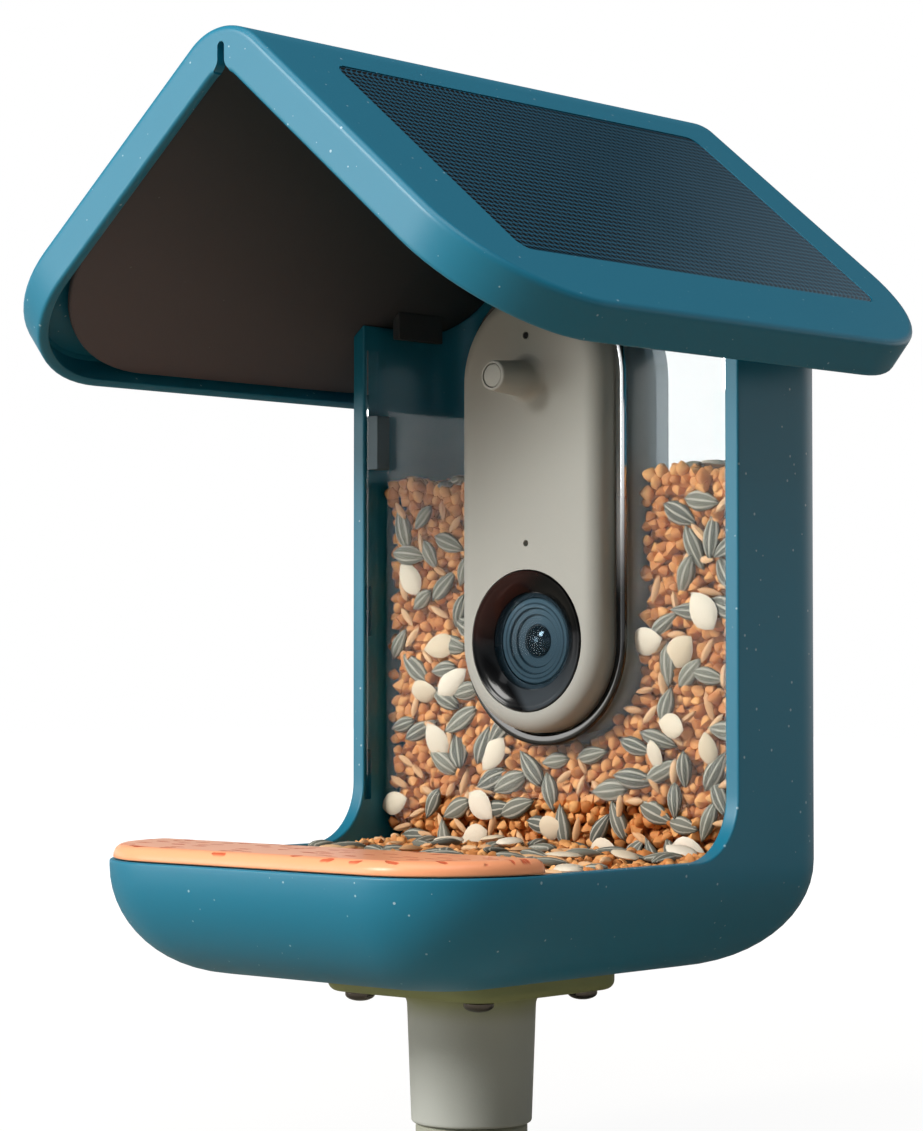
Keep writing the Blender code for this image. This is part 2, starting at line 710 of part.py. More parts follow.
def clear_of_pocket(x, z):
    # Whether a big seed at a place behind the window misses the camera's pocket
    rise = min(max(z, LENS_AXIS), PEG_AXIS)
    return math.hypot(x, z - rise) > COLLAR_RADIUS + BIG_SEED_LENGTH / 2 + 2 * SEAT_GAP


def make_hopper_seed():
    # The packed seed's front and rear faces stand back by as much as the big seeds stand out
    level = TRAY_RIM + SEED_RISE
    gap = 2 * SEAT_GAP
    proud = BIG_SEED_HEIGHT / 2 - BIG_SEED_SINK
    front, back = RAMP_FRONT + proud, RAMP_BACK - proud
    low, high = ramp_level(front) + gap, ramp_level(back) + gap
    outline = [(front, low), (back, high), (back, level), (front, level)]
    half = HOPPER_HALF - SEAT_GAP
    seed = plate([outline], -half, half, "YZ")
    round_edges(seed, lambda middle, way: middle.y < front + gap and abs(way.z) > 0.5, WINDOW_CORNER, 2)
    margin = BIG_SEED_LENGTH / 2
    places = even_places(-half, half, BIG_SEED_PITCH)
    spots = []
    for z in even_places(RAMP_LOW + margin, level - margin, BIG_SEED_PITCH):
        spots += [(x, front, z) for x in places if clear_of_pocket(x, z)]
    join(seed, big_seeds(spots, (0, -1, 0), (1, 0, 0)))
    spots = []
    for z in even_places(RAMP_HIGH + margin, level - margin, BIG_SEED_PITCH):
        spots += [(x, back, z) for x in places]
    join(seed, big_seeds(spots, (0, 1, 0), (-1, 0, 0)))
    keep_inside(seed, inside_of_body(SEAT_GAP))
    cut(seed, plate([capsule(COLLAR_RADIUS + SEAT_GAP)], WINDOW_FACE, POCKET_REAR + SEAT_GAP, "XZ"))
    return as_part(seed, "hopper_seed", SEED_BROWN, 0.8)


def make_tray_seed():
    front = PERCH_BACK + SEAT_GAP
    back = WINDOW_FACE - SEAT_GAP
    low = FLOOR_TOP + SEAT_GAP
    proud = BIG_SEED_HEIGHT / 2 - BIG_SEED_SINK
    near, far = TRAY_RIM - HEAP_DIP - proud, TRAY_RIM + HEAP_RISE - proud
    seed = plate([[(front, low), (back, low), (back, far), (front, near)]], -INNER_HALF, INNER_HALF, "YZ")
    spots = []
    for y in even_places(front, back, BIG_SEED_PITCH):
        level = near + (far - near) * (y - front) / (back - front)
        spots += [(x, y, level) for x in even_places(-INNER_HALF, INNER_HALF, BIG_SEED_PITCH)]
    join(seed, big_seeds(spots, (0, 0, 1), (1, 0, 0)))
    keep_inside(seed, inside_of_body(SEAT_GAP))
    for x, y in screw_places():
        height = BOSS_HEIGHT + SEAT_GAP
        cut(seed, rod((x, y, FLOOR_TOP), (0, 0, 1), height, BOSS_RADIUS + 2 * SEAT_GAP, SMALL_ROUND_STEPS))
    return as_part(seed, "tray_seed", SEED_BROWN, 0.8)


# Rear hatch on two pins

GRIP_WIDTH = 0.018
GRIP_HEIGHT = 0.004
GRIP_REACH = 0.005


def make_hatch():
    outer_face = BACK_REACH
    inner_face = outer_face - HATCH_THICKNESS
    pane = plate([hatch_outline(SEAT_GAP)], inner_face, outer_face, "XZ")
    grip_top = HATCH_HIGH - HATCH_CORNER
    grip = box(
        (-GRIP_WIDTH / 2, inner_face + SEAT_GAP, grip_top - GRIP_HEIGHT),
        (GRIP_WIDTH / 2, outer_face + GRIP_REACH, grip_top),
    )
    round_edges(grip, lambda middle, way: middle.y > outer_face + GRIP_REACH / 2, GRIP_HEIGHT / 4, 2)
    join(pane, grip)
    for side in (-1, 1):
        middle = side * KNUCKLE_PLACE
        half = KNUCKLE_LENGTH / 2
        web = box(
            (middle - half, inner_face + SEAT_GAP, HINGE_Z + PIN_RADIUS),
            (middle + half, HINGE_Y, HINGE_Z + KNUCKLE_RADIUS),
        )
        join(pane, web, knuckle(middle, KNUCKLE_LENGTH, KNUCKLE_RADIUS))
    for side in (-1, 1):
        cut(pane, knuckle(side * KNUCKLE_PLACE, 2 * KNUCKLE_LENGTH, PIN_RADIUS + PIN_GAP))
    as_part(pane, "rear_hatch", CLEAR, 0.05, alpha=0.3)
    set_origin(pane, (0, HINGE_Y, HINGE_Z))
    return pane


def make_hatch_pin(side, name):
    pin = knuckle(side * KNUCKLE_PLACE, 3 * KNUCKLE_LENGTH + SEAT_GAP, PIN_RADIUS)
    return as_part(pin, name, STEEL, 0.3, 1.0)


# Roof

PANEL_RUN = 0.0802
PANEL_LENGTH = 0.147
PANEL_THICKNESS = 0.0010
PANEL_CORNER = 0.004
PANEL_SHIFT = 0.0029        # the panels lie this far back of the roof's middle
PANEL_SINK = 0.0002
PANEL_START = 0.0195        # ridge to the panel's upper edge, along the surface
WIRE_HOLE_RADIUS = 0.003
LINER_GAP = 0.0008
LINER_CORNER = 0.050
SLOT_HALF_WIDTH = 0.0012
SLOT_FOOT_HALF_WIDTH = 0.0027
SLOT_FOOT_HEIGHT = 0.0028
SLOT_HEIGHT = 0.0072        # rim's lower edge at the ridge to the slot's rounded top
BOARD_SIZE = (0.026, 0.040, 0.0022)
RAIL_WIDTH = 0.0025
RAIL_HEIGHT = 0.006

RIM_BOTTOM = RIDGE_CENTRE + RIDGE_RADIUS - ROOF_THICKNESS


def panel_plate(side, grow, low, high):
    # A panel's outline on its slope, between two heights out of the roof's surface
    half_run = PANEL_RUN / 2 + grow
    half_length = PANEL_LENGTH / 2 + grow
    corner = PANEL_CORNER + grow
    shape = plate([rounded_box((-half_run, -half_length), (half_run, half_length), (corner,) * 4, 4)],
                  low, high, "XY")
    frame = on_slope(side, PANEL_START + PANEL_RUN / 2, 0)
    shape.data.transform(Matrix.Translation((0, PANEL_SHIFT, 0)) @ frame)
    return shape


def hanging_slot(low, high):
    # The slot in the rim at the ridge, on a flared foot
    top_centre = RIM_BOTTOM + SLOT_HEIGHT - SLOT_HALF_WIDTH
    neck = RIM_BOTTOM + SLOT_FOOT_HEIGHT
    foot = RIM_BOTTOM - OVERRUN
    outline = [(-SLOT_FOOT_HALF_WIDTH, foot), (SLOT_FOOT_HALF_WIDTH, foot)]
    outline += [(SLOT_FOOT_HALF_WIDTH, RIM_BOTTOM), (SLOT_HALF_WIDTH, neck)]
    outline += arc((0, top_centre), SLOT_HALF_WIDTH, 0, math.pi, 6)
    outline += [(-SLOT_HALF_WIDTH, neck), (-SLOT_FOOT_HALF_WIDTH, RIM_BOTTOM)]
    return plate([outline], low, high, "XZ")


def make_roof_shell():
    shell = roof_sheet(EAVE_RUN, ROOF_HALF_DEPTH, ROOF_CORNER_RADIUS, 0, ROOF_THICKNESS)
    bevel = shell.modifiers.new("edge", "BEVEL")
    bevel.width = ROOF_EDGE_ROUND
    bevel.segments = 3
    bevel.limit_method = "ANGLE"
    bevel.angle_limit = math.radians(50)
    inner_corner = ROOF_CORNER_RADIUS - ROOF_RIM_WALL
    hollow = roof_sheet(EAVE_RUN - ROOF_RIM_WALL, ROOF_HALF_DEPTH - ROOF_RIM_WALL, inner_corner,
                        ROOF_SKIN, ROOF_THICKNESS - ROOF_SKIN + OVERRUN, folds=RIDGE_STEPS - 3)
    cut(shell, hollow)
    for side in (-1, 1):
        cut(shell, panel_plate(side, SEAT_GAP, -PANEL_SINK - PANEL_THICKNESS - SEAT_GAP, OVERRUN))
        start = on_slope(side, PANEL_START + PANEL_RUN / 2, ROOF_SKIN + OVERRUN)
        way = start.to_3x3() @ Vector((0, 0, 1))
        cut(shell, rod(start.translation, way, ROOF_SKIN + OVERRUN, WIRE_HOLE_RADIUS, steps=16))
    cut(shell, hanging_slot(-ROOF_HALF_DEPTH - OVERRUN, ROOF_RIM_WALL + OVERRUN / 2 - ROOF_HALF_DEPTH))
    return as_part(shell, "roof_shell", BLUE, 0.35)


def make_roof_liner():
    inset = ROOF_RIM_WALL + LINER_GAP
    liner = roof_sheet(EAVE_RUN - inset, ROOF_HALF_DEPTH - inset, LINER_CORNER, LINER_DEPTH, LINER_THICKNESS)
    return as_part(liner, "roof_liner", (0.012, 0.020, 0.024), 0.3)


def make_solar_panel(side, name):
    panel = panel_plate(side, 0, -PANEL_SINK - PANEL_THICKNESS, -PANEL_SINK)
    return as_part(panel, name, (0.008, 0.014, 0.026), 0.25)


def make_charge_board():
    # Lies on the liner's upper face, under the right panel
    half = [extent / 2 for extent in BOARD_SIZE]
    board = box((-half[0], -half[1], -half[2]), (half[0], half[1], half[2]))
    depth = LINER_DEPTH - SEAT_GAP - half[2]
    board.data.transform(on_slope(1, PANEL_START + PANEL_RUN / 2, depth))
    return as_part(board, "solar_charge_board", BOARD_GREEN, 0.5)


def make_roof_rail(side, name):
    # Under the liner, just inside a side wall: it locates the roof when it is set down
    outer = HOPPER_HALF
    inner = outer - RAIL_WIDTH
    depth = LINER_DEPTH + LINER_THICKNESS + SEAT_GAP
    drop = RIDGE_RADIUS - depth

    def ceiling(x):
        # The roof's straight part at that depth, above a place across
        start_x = drop * math.sin(SLOPE_ANGLE)
        start_z = RIDGE_CENTRE + drop * math.cos(SLOPE_ANGLE)
        return start_z - (x - start_x) * SLOPE_SHARE

    foot = ceiling(outer) - RAIL_HEIGHT
    outline = [(side * inner, foot), (side * outer, foot), (side * outer, ceiling(outer)),
               (side * inner, ceiling(inner))]
    rail = plate([outline], WINDOW_REAR + WINDOW_CORNER, BACK_REACH - REAR_CORNER_RADIUS, "XZ")
    return as_part(rail, name, BLUE, 0.4)


# Bracket, screws and pole adapter

FLANGE_SIZE = 0.060
FLANGE_CORNER = 0.010
FLANGE_ROUND = 0.0025
SLEEVE_TOP_RADIUS = 0.0172
SLEEVE_FOOT_RADIUS = 0.0161
SLEEVE_FILLET = 0.004
SLEEVE_BORE_RADIUS = 0.0138
SLEEVE_BORE_DEPTH = 0.032
SLEEVE_EDGE = 0.0008
ADAPTER_RADIUS = 0.0149
ADAPTER_BORE_RADIUS = 0.0115
SCREW_SHANK_RADIUS = 0.0020
SCREW_HEAD_RADIUS = 0.0040
SCREW_HEAD_HEIGHT = 0.0026
SCREW_RIM_HEIGHT = 0.0008
SCREW_LENGTH = 0.016


def make_bracket():
    half = FLANGE_SIZE / 2
    top = FLANGE_UNDERSIDE + FLANGE_THICKNESS
    outline = rounded_box((-half, -half), (half, half), (FLANGE_CORNER,) * 4)
    flange = plate([outline], FLANGE_UNDERSIDE, top, "XY")
    low = FLANGE_UNDERSIDE + FLANGE_THICKNESS / 4
    round_edges(flange, lambda middle, way: middle.z < low and abs(way.z) < 0.5, FLANGE_ROUND, 3)

    # Sleeve: a tapered tube that flares into the flange
    foot = ADAPTER_STICKOUT
    flare = arc((SLEEVE_TOP_RADIUS + SLEEVE_FILLET, FLANGE_UNDERSIDE - SLEEVE_FILLET), SLEEVE_FILLET,
                math.pi / 2, math.pi, 5)
    edge = arc((SLEEVE_FOOT_RADIUS - SLEEVE_EDGE, foot + SLEEVE_EDGE), SLEEVE_EDGE, 0, -math.pi / 2, 3)
    bore_top = foot + SLEEVE_BORE_DEPTH
    profile = [(0, top - SEAT_GAP), (flare[0][0], top - SEAT_GAP)] + flare + edge
    profile += [(SLEEVE_BORE_RADIUS, foot), (SLEEVE_BORE_RADIUS, bore_top), (0, bore_top)]
    join(flange, turned(profile, False, (0, 0, 0), False, 32))
    for x, y in screw_places():
        cut(flange, rod((x, y, FLANGE_UNDERSIDE - OVERRUN), (0, 0, 1), FLANGE_THICKNESS + 2 * OVERRUN,
                        SCREW_HOLE_RADIUS, SMALL_ROUND_STEPS))
    return as_part(flange, "mount_bracket", (0.42, 0.43, 0.38), 0.45)


def make_bracket_screw(place, name):
    # Dome head down, shank up into a boss
    under = FLANGE_UNDERSIDE - SEAT_GAP
    rim = under - SCREW_RIM_HEIGHT
    dome_height = SCREW_HEAD_HEIGHT - SCREW_RIM_HEIGHT
    dome = []
    for step in range(4):
        angle = math.pi / 2 * step / 4
        dome.append((SCREW_HEAD_RADIUS * math.cos(angle), rim - dome_height * math.sin(angle)))
    dome.append((0, rim - dome_height))
    profile = [(0, under + SCREW_LENGTH), (SCREW_SHANK_RADIUS, under + SCREW_LENGTH),
               (SCREW_SHANK_RADIUS, under), (SCREW_HEAD_RADIUS, under)] + dome
    screw = turned(profile, False, (place[0], place[1], 0), False, SMALL_ROUND_STEPS)
    return as_part(screw, name, STEEL, 0.2, 1.0)


def make_adapter():
    spigot = SLEEVE_BORE_RADIUS - SEAT_GAP
    shoulder = ADAPTER_STICKOUT - SEAT_GAP
    top = ADAPTER_STICKOUT + SLEEVE_BORE_DEPTH - SEAT_GAP
    profile = [(ADAPTER_BORE_RADIUS, top), (spigot, top), (spigot, shoulder), (ADAPTER_RADIUS, shoulder),
               (ADAPTER_RADIUS, 0), (ADAPTER_BORE_RADIUS, 0)]
    return as_part(turned(profile, True, (0, 0, 0), False, 32), "pole_adapter", (0.40, 0.42, 0.37), 0.5)


# Camera module. Depths in this section are measured back from the module's face.

COVER_DEPTH = 0.0115
COVER_CROWN = 0.0050
GASKET_THICKNESS = 0.001
REAR_INSET = 0.0004
REAR_ROUND = 0.003
BEZEL_RADIUS = 0.01925
BEZEL_LIP = 0.0006
DISH_DEPTH = 0.0023
DISH_STEPS = 5
LENS_COVER_RADIUS = 0.0132
LEDGE_WIDTH = 0.0012
BEZEL_DEPTH = 0.0062
LENS_COVER_THICKNESS = 0.0012
LENS_COVER_CROWN = 0.0012
BARREL_RINGS = (0.0090, 0.0072, 0.0045)     # radii of the barrel's steps, outside in
BARREL_STEP = 0.0007
BARREL_DEPTH = 0.0140
LENS_CROWN = 0.0012
SENSOR_BOARD_SIZE = 0.024
BOARD_THICKNESS = 0.0012
MAIN_BOARD_HALF_WIDTH = 0.021
BATTERY_SIZE = (0.036, 0.0050, 0.056)
PEG_REACH = 0.014
PEG_TIP_RADIUS = 0.00415
PEG_BASE_RADIUS = 0.0050
PEG_FLARE = 0.0022
PEG_ROUND = 0.0005
BUTTON_RADIUS = 0.0031
BUTTON_GAP = 0.00025
BUTTON_HEAD = 0.0015
BUTTON_STEM_RADIUS = 0.0016
BUTTON_TRAVEL = 0.0008
LIGHT_RISE = 0.0120         # peg axis to the light's hole
LIGHT_RADIUS = 0.0009
MIC_RISE = 0.0267           # lens axis to the microphone's hole
MIC_HOLE_RADIUS = 0.0009
MIC_RADIUS = 0.0028
MIC_THICKNESS = 0.0015
SWITCH_WIDTH = 0.006
PORT_HALF_WIDTH = 0.0050
PORT_HEIGHT = 0.0034
PORT_DROP = 0.014           # lens axis down to the charging socket
PORT_SLOT_DEPTH = 0.003

COVER_REAR = MODULE_FACE + COVER_DEPTH
REAR_COVER_FRONT = COVER_REAR + 2 * SEAT_GAP + GASKET_THICKNESS
BARREL_RADIUS = LENS_COVER_RADIUS - LEDGE_WIDTH
SENSOR_BOARD_FRONT = MODULE_FACE + BARREL_DEPTH + SEAT_GAP
MAIN_BOARD_FRONT = SENSOR_BOARD_FRONT + BOARD_THICKNESS + SEAT_GAP
BATTERY_FRONT = MAIN_BOARD_FRONT + BOARD_THICKNESS + SEAT_GAP
BORE_FLOOR = -(DISH_DEPTH + LENS_COVER_THICKNESS + SEAT_GAP) - BARREL_STEP * (len(BARREL_RINGS) + 1)


def front_rod(rise, near, far, radius, steps=ROUND_STEPS):
    # A rod through the module, square to its face, between two places from front to back
    return rod((0, near, rise), (0, 1, 0), far - near, radius, steps)


def make_front_cover():
    cover = plate([capsule(MODULE_RADIUS)], MODULE_FACE, COVER_REAR, "XZ")
    edge = MODULE_FACE + SEAT_GAP
    round_edges(cover, lambda middle, way: middle.y < edge and abs(way.y) < 0.5, COVER_CROWN, 5)
    hollow = capsule(MODULE_RADIUS - MODULE_WALL)
    cut(cover, plate([hollow], MODULE_FACE + MODULE_WALL, COVER_REAR + OVERRUN, "XZ"))
    flare = arc((PEG_BASE_RADIUS + PEG_FLARE, PEG_FLARE), PEG_FLARE, math.pi, 1.5 * math.pi, 4)
    tip = arc((PEG_TIP_RADIUS - PEG_ROUND, PEG_REACH - PEG_ROUND), PEG_ROUND, math.pi / 2, 0, 2)
    root = -MODULE_WALL / 2
    profile = [(0, PEG_REACH)] + tip + flare + [(flare[-1][0], root), (0, root)]
    join(cover, turned(profile, False, (0, MODULE_FACE, PEG_AXIS), True))
    bore = BUTTON_RADIUS + BUTTON_GAP
    stem_bore = BUTTON_STEM_RADIUS + BUTTON_GAP
    shoulder = PEG_REACH - BUTTON_HEAD - BUTTON_TRAVEL - SEAT_GAP
    deep = -MODULE_WALL - OVERRUN
    bore_profile = [(0, PEG_REACH + OVERRUN), (bore, PEG_REACH + OVERRUN), (bore, shoulder),
                    (stem_bore, shoulder), (stem_bore, deep), (0, deep)]
    half_facet = math.pi / ROUND_STEPS
    cut(cover, turned(bore_profile, False, (0, MODULE_FACE, PEG_AXIS), True, spin=half_facet))
    inside = MODULE_FACE + MODULE_WALL + OVERRUN
    near = MODULE_FACE - OVERRUN
    cut(cover, front_rod(LENS_AXIS, near, inside, BEZEL_RADIUS + SEAT_GAP, 40))
    cut(cover, front_rod(PEG_AXIS + LIGHT_RISE, near, inside, LIGHT_RADIUS + SEAT_GAP, 12))
    cut(cover, front_rod(LENS_AXIS + MIC_RISE, near, inside, MIC_HOLE_RADIUS, 12))
    return as_part(cover, "module_front_cover", MODULE_GREY, 0.45)


def make_gasket():
    front = COVER_REAR + SEAT_GAP
    rear = front + GASKET_THICKNESS
    ring = plate([capsule(MODULE_RADIUS - REAR_INSET)], front, rear, "XZ")
    cut(ring, plate([capsule(MODULE_RADIUS - MODULE_WALL)], front - OVERRUN, rear + OVERRUN, "XZ"))
    return as_part(ring, "module_gasket", DARK, 0.8)


def make_rear_cover():
    cover = plate([capsule(MODULE_RADIUS - REAR_INSET)], REAR_COVER_FRONT, MODULE_REAR, "XZ")
    edge = MODULE_REAR - SEAT_GAP
    round_edges(cover, lambda middle, way: middle.y > edge and abs(way.y) < 0.5, REAR_ROUND, 3)
    hollow = capsule(MODULE_RADIUS - REAR_INSET - MODULE_WALL)
    cut(cover, plate([hollow], REAR_COVER_FRONT - OVERRUN, MODULE_REAR - MODULE_WALL, "XZ"))
    low = LENS_AXIS - PORT_DROP - PORT_HEIGHT / 2 - SEAT_GAP
    cut(cover, box(
        (-PORT_HALF_WIDTH - SEAT_GAP, MODULE_REAR - MODULE_WALL - OVERRUN, low),
        (PORT_HALF_WIDTH + SEAT_GAP, MODULE_REAR + OVERRUN, low + PORT_HEIGHT + 2 * SEAT_GAP),
    ))
    return as_part(cover, "module_rear_cover", (0.36, 0.35, 0.33), 0.5)


def make_lens_bezel():
    # A dish: a lip at the cover's face falling to the lens cover's seat
    ledge = DISH_DEPTH + LENS_COVER_THICKNESS + SEAT_GAP
    seat = LENS_COVER_RADIUS + SEAT_GAP
    profile = [
        (BEZEL_RADIUS - BEZEL_LIP, BEZEL_LIP / 2), (BEZEL_RADIUS, -BEZEL_LIP / 2),
        (BEZEL_RADIUS, -BEZEL_DEPTH), (BARREL_RADIUS, -BEZEL_DEPTH), (BARREL_RADIUS, -ledge),
        (seat, -ledge), (seat, -DISH_DEPTH),
    ]
    width = BEZEL_RADIUS - 2 * BEZEL_LIP - seat
    for step in range(1, DISH_STEPS + 1):
        share = step / DISH_STEPS
        profile.append((seat + width * share, -DISH_DEPTH * (1 - share) ** 1.5))
    bezel = turned(profile, True, (0, MODULE_FACE, LENS_AXIS), True, 32)
    return as_part(bezel, "lens_bezel", DARK, 0.05)


def crowned_line(radius, edge, crown, count=5):
    # A lens's section from its axis out to its edge
    line = []
    for step in range(count + 1):
        reach = radius * step / count
        line.append((reach, edge + crown * (1 - (reach / radius) ** 2)))
    return line


def make_lens_cover():
    front = crowned_line(LENS_COVER_RADIUS, -DISH_DEPTH, LENS_COVER_CROWN)
    back = [(reach, height - LENS_COVER_THICKNESS) for reach, height in reversed(front)]
    cover = turned(front + back, False, (0, MODULE_FACE, LENS_AXIS), True, 32)
    return as_part(cover, "lens_cover", (0.20, 0.28, 0.32), 0.03, alpha=0.35)


def make_lens_barrel():
    # Steps fall towards the axis, and the bore at the middle holds the front lens
    level = -(DISH_DEPTH + LENS_COVER_THICKNESS + SEAT_GAP)
    profile = [(0, BORE_FLOOR)]
    for step, radius in enumerate(reversed(BARREL_RINGS)):
        below = BORE_FLOOR if step == 0 else level - BARREL_STEP * (len(BARREL_RINGS) - step)
        above = level - BARREL_STEP * (len(BARREL_RINGS) - 1 - step)
        profile += [(radius, below), (radius, above)]
    outer = BARREL_RADIUS - SEAT_GAP
    profile += [(outer, level), (outer, -BARREL_DEPTH), (0, -BARREL_DEPTH)]
    barrel = turned(profile, False, (0, MODULE_FACE, LENS_AXIS), True, 32)
    return as_part(barrel, "lens_barrel", (0.06, 0.10, 0.13), 0.2)


def make_front_lens():
    radius = BARREL_RINGS[-1] - SEAT_GAP
    low = BORE_FLOOR + SEAT_GAP
    profile = crowned_line(radius, low + BARREL_STEP, LENS_CROWN) + [(radius, low), (0, low)]
    lens = turned(profile, False, (0, MODULE_FACE, LENS_AXIS), True, 24)
    return as_part(lens, "front_lens", (0.05, 0.10, 0.13), 0.03)


def make_boards():
    half = SENSOR_BOARD_SIZE / 2
    sensor = box(
        (-half, SENSOR_BOARD_FRONT, LENS_AXIS - half),
        (half, SENSOR_BOARD_FRONT + BOARD_THICKNESS, LENS_AXIS + half),
    )
    as_part(sensor, "sensor_board", BOARD_GREEN, 0.5)
    outline = capsule(MAIN_BOARD_HALF_WIDTH, steps=CORNER_STEPS)
    main = plate([outline], MAIN_BOARD_FRONT, MAIN_BOARD_FRONT + BOARD_THICKNESS, "XZ")
    as_part(main, "main_board", BOARD_GREEN, 0.5)
    half = BATTERY_SIZE[0] / 2
    battery = box(
        (-half, BATTERY_FRONT, LENS_AXIS + SEAT_GAP),
        (half, BATTERY_FRONT + BATTERY_SIZE[1], LENS_AXIS + SEAT_GAP + BATTERY_SIZE[2]),
    )
    as_part(battery, "battery", (0.30, 0.32, 0.34), 0.5)
    return [sensor, main, battery]


def make_microphone():
    front = MODULE_FACE + MODULE_WALL + SEAT_GAP
    capsule_body = front_rod(LENS_AXIS + MIC_RISE, front, front + MIC_THICKNESS, MIC_RADIUS, 16)
    return as_part(capsule_body, "microphone", DARK, 0.6)


def make_light_pipe():
    # Fills the light's hole, with a flange behind the cover
    rise = PEG_AXIS + LIGHT_RISE
    flange = MODULE_FACE + MODULE_WALL + SEAT_GAP
    pipe = front_rod(rise, MODULE_FACE + SEAT_GAP / 2, flange + 2 * SEAT_GAP, LIGHT_RADIUS, 12)
    join(pipe, front_rod(rise, flange, flange + MIC_THICKNESS, 2 * LIGHT_RADIUS, 12))
    return as_part(pipe, "light_pipe", (0.10, 0.10, 0.10), 0.3)


def make_power_button():
    tip = PEG_REACH
    stem_end = -(MODULE_WALL + SEAT_GAP)
    profile = [
        (0, tip), (BUTTON_RADIUS - SEAT_GAP / 2, tip), (BUTTON_RADIUS, tip - SEAT_GAP / 2),
        (BUTTON_RADIUS, tip - BUTTON_HEAD), (BUTTON_STEM_RADIUS, tip - BUTTON_HEAD),
        (BUTTON_STEM_RADIUS, stem_end), (0, stem_end),
    ]
    button = turned(profile, False, (0, MODULE_FACE, PEG_AXIS), True, 24)
    return as_part(button, "power_button", MODULE_GREY, 0.45)


def make_button_switch():
    # Stands on the main board, behind the button's stem by the travel and a gap
    front = MODULE_FACE + MODULE_WALL + BUTTON_TRAVEL + 2 * SEAT_GAP
    half = SWITCH_WIDTH / 2
    switch = box(
        (-half, front, PEG_AXIS - half), (half, MAIN_BOARD_FRONT - SEAT_GAP, PEG_AXIS + half),
    )
    return as_part(switch, "button_switch", DARK, 0.5)


def make_charge_socket():
    rear = MODULE_REAR - MODULE_WALL / 4
    middle = LENS_AXIS - PORT_DROP
    socket = box(
        (-PORT_HALF_WIDTH, MAIN_BOARD_FRONT + BOARD_THICKNESS + SEAT_GAP, middle - PORT_HEIGHT / 2),
        (PORT_HALF_WIDTH, rear, middle + PORT_HEIGHT / 2),
    )
    slot = MODULE_WALL / 4
    cut(socket, box(
        (slot - PORT_HALF_WIDTH, rear - PORT_SLOT_DEPTH, middle - PORT_HEIGHT / 2 + slot),
        (PORT_HALF_WIDTH - slot, rear + OVERRUN, middle + PORT_HEIGHT / 2 - slot),
    ))
    return as_part(socket, "charge_socket", STEEL, 0.35, 1.0)


# Assembly: the body stays, the roof lifts, the hatch swings, the module slides and its button travels

make_housing()
make_perch()
make_window()
make_pocket_bezel()
make_ramp()
make_hopper_seed()
make_tray_seed()
make_bracket()
for number, place in enumerate(screw_places(), start=1):
    make_bracket_screw(place, "bracket_screw_%d" % number)
make_adapter()
for side, end in ((-1, "left"), (1, "right")):
    make_hatch_pin(side, "hatch_pin_" + end)

hatch_hinge = axis_empty("hatch_hinge", (0, HINGE_Y, HINGE_Z))
hang_on(hatch_hinge, [make_hatch()])

roof_lift = axis_empty("roof_lift", (0, 0, RIDGE_CENTRE))
roof_pieces = [make_roof_shell(), make_roof_liner(), make_charge_board()]
for side, end in ((-1, "left"), (1, "right")):
    roof_pieces.append(make_solar_panel(side, "solar_panel_" + end))
    roof_pieces.append(make_roof_rail(side, "roof_rail_" + end))
hang_on(roof_lift, roof_pieces)

module_slide = axis_empty("module_slide", (0, MODULE_FACE, LENS_AXIS))
module_pieces = [make_front_cover(), make_gasket(), make_rear_cover(), make_lens_bezel(), make_lens_cover(),
                 make_lens_barrel(), make_front_lens(), make_microphone(), make_light_pipe(),
                 make_button_switch(), make_charge_socket()]
module_pieces += make_boards()
hang_on(module_slide, module_pieces)

button_slide = axis_empty("button_slide", (0, MODULE_FACE - PEG_REACH, PEG_AXIS))
hang_on(button_slide, [make_power_button()])
hang_on(module_slide, [button_slide])
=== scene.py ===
import math

import bmesh
import bpy
import numpy as np
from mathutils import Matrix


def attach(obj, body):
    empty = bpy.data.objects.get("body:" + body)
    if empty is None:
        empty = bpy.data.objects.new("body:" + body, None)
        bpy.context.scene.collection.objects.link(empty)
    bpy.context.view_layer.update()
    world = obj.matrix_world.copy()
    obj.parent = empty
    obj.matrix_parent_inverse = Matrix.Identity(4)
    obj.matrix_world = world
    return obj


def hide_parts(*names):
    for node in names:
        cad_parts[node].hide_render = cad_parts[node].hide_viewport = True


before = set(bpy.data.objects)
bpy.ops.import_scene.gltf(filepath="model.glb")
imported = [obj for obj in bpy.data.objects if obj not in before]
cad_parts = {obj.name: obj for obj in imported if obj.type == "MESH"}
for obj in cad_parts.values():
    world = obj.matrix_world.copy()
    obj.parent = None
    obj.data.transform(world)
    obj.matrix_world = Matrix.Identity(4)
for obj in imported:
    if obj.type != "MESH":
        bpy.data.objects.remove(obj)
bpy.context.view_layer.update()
chance = np.random.default_rng(41)

# Sizes of the camera module, which its pocket and its finish follow too
camera = dict(
    face=0.0224, rear=0.0339, radius=0.0252, crown=0.0050, wall=0.002, lens=0.1383, peg=0.2100,
    bezel=0.01925, dish=0.0023, glass=0.0132, pegReach=0.014, tip=0.00415, base=0.0050, flare=0.0022,
)


# Shader helpers

def shade(red, green, blue):
    # Screen values from 0 to 255, turned into the linear colour that a shader takes
    values = np.array([red, green, blue]) / 255
    linear = np.where(values <= 0.04045, values / 12.92, ((values + 0.055) / 1.055) ** 2.4)
    return (*[float(value) for value in linear], 1.0)


def darker(tint, share=0.8):
    return tuple(value * share for value in tint[:3]) + (1.0,)


def operator(operation, reflected=False):
    def added(wire, other):
        return wire.finish.maths(operation, *((other, wire) if reflected else (wire, other)))
    return added


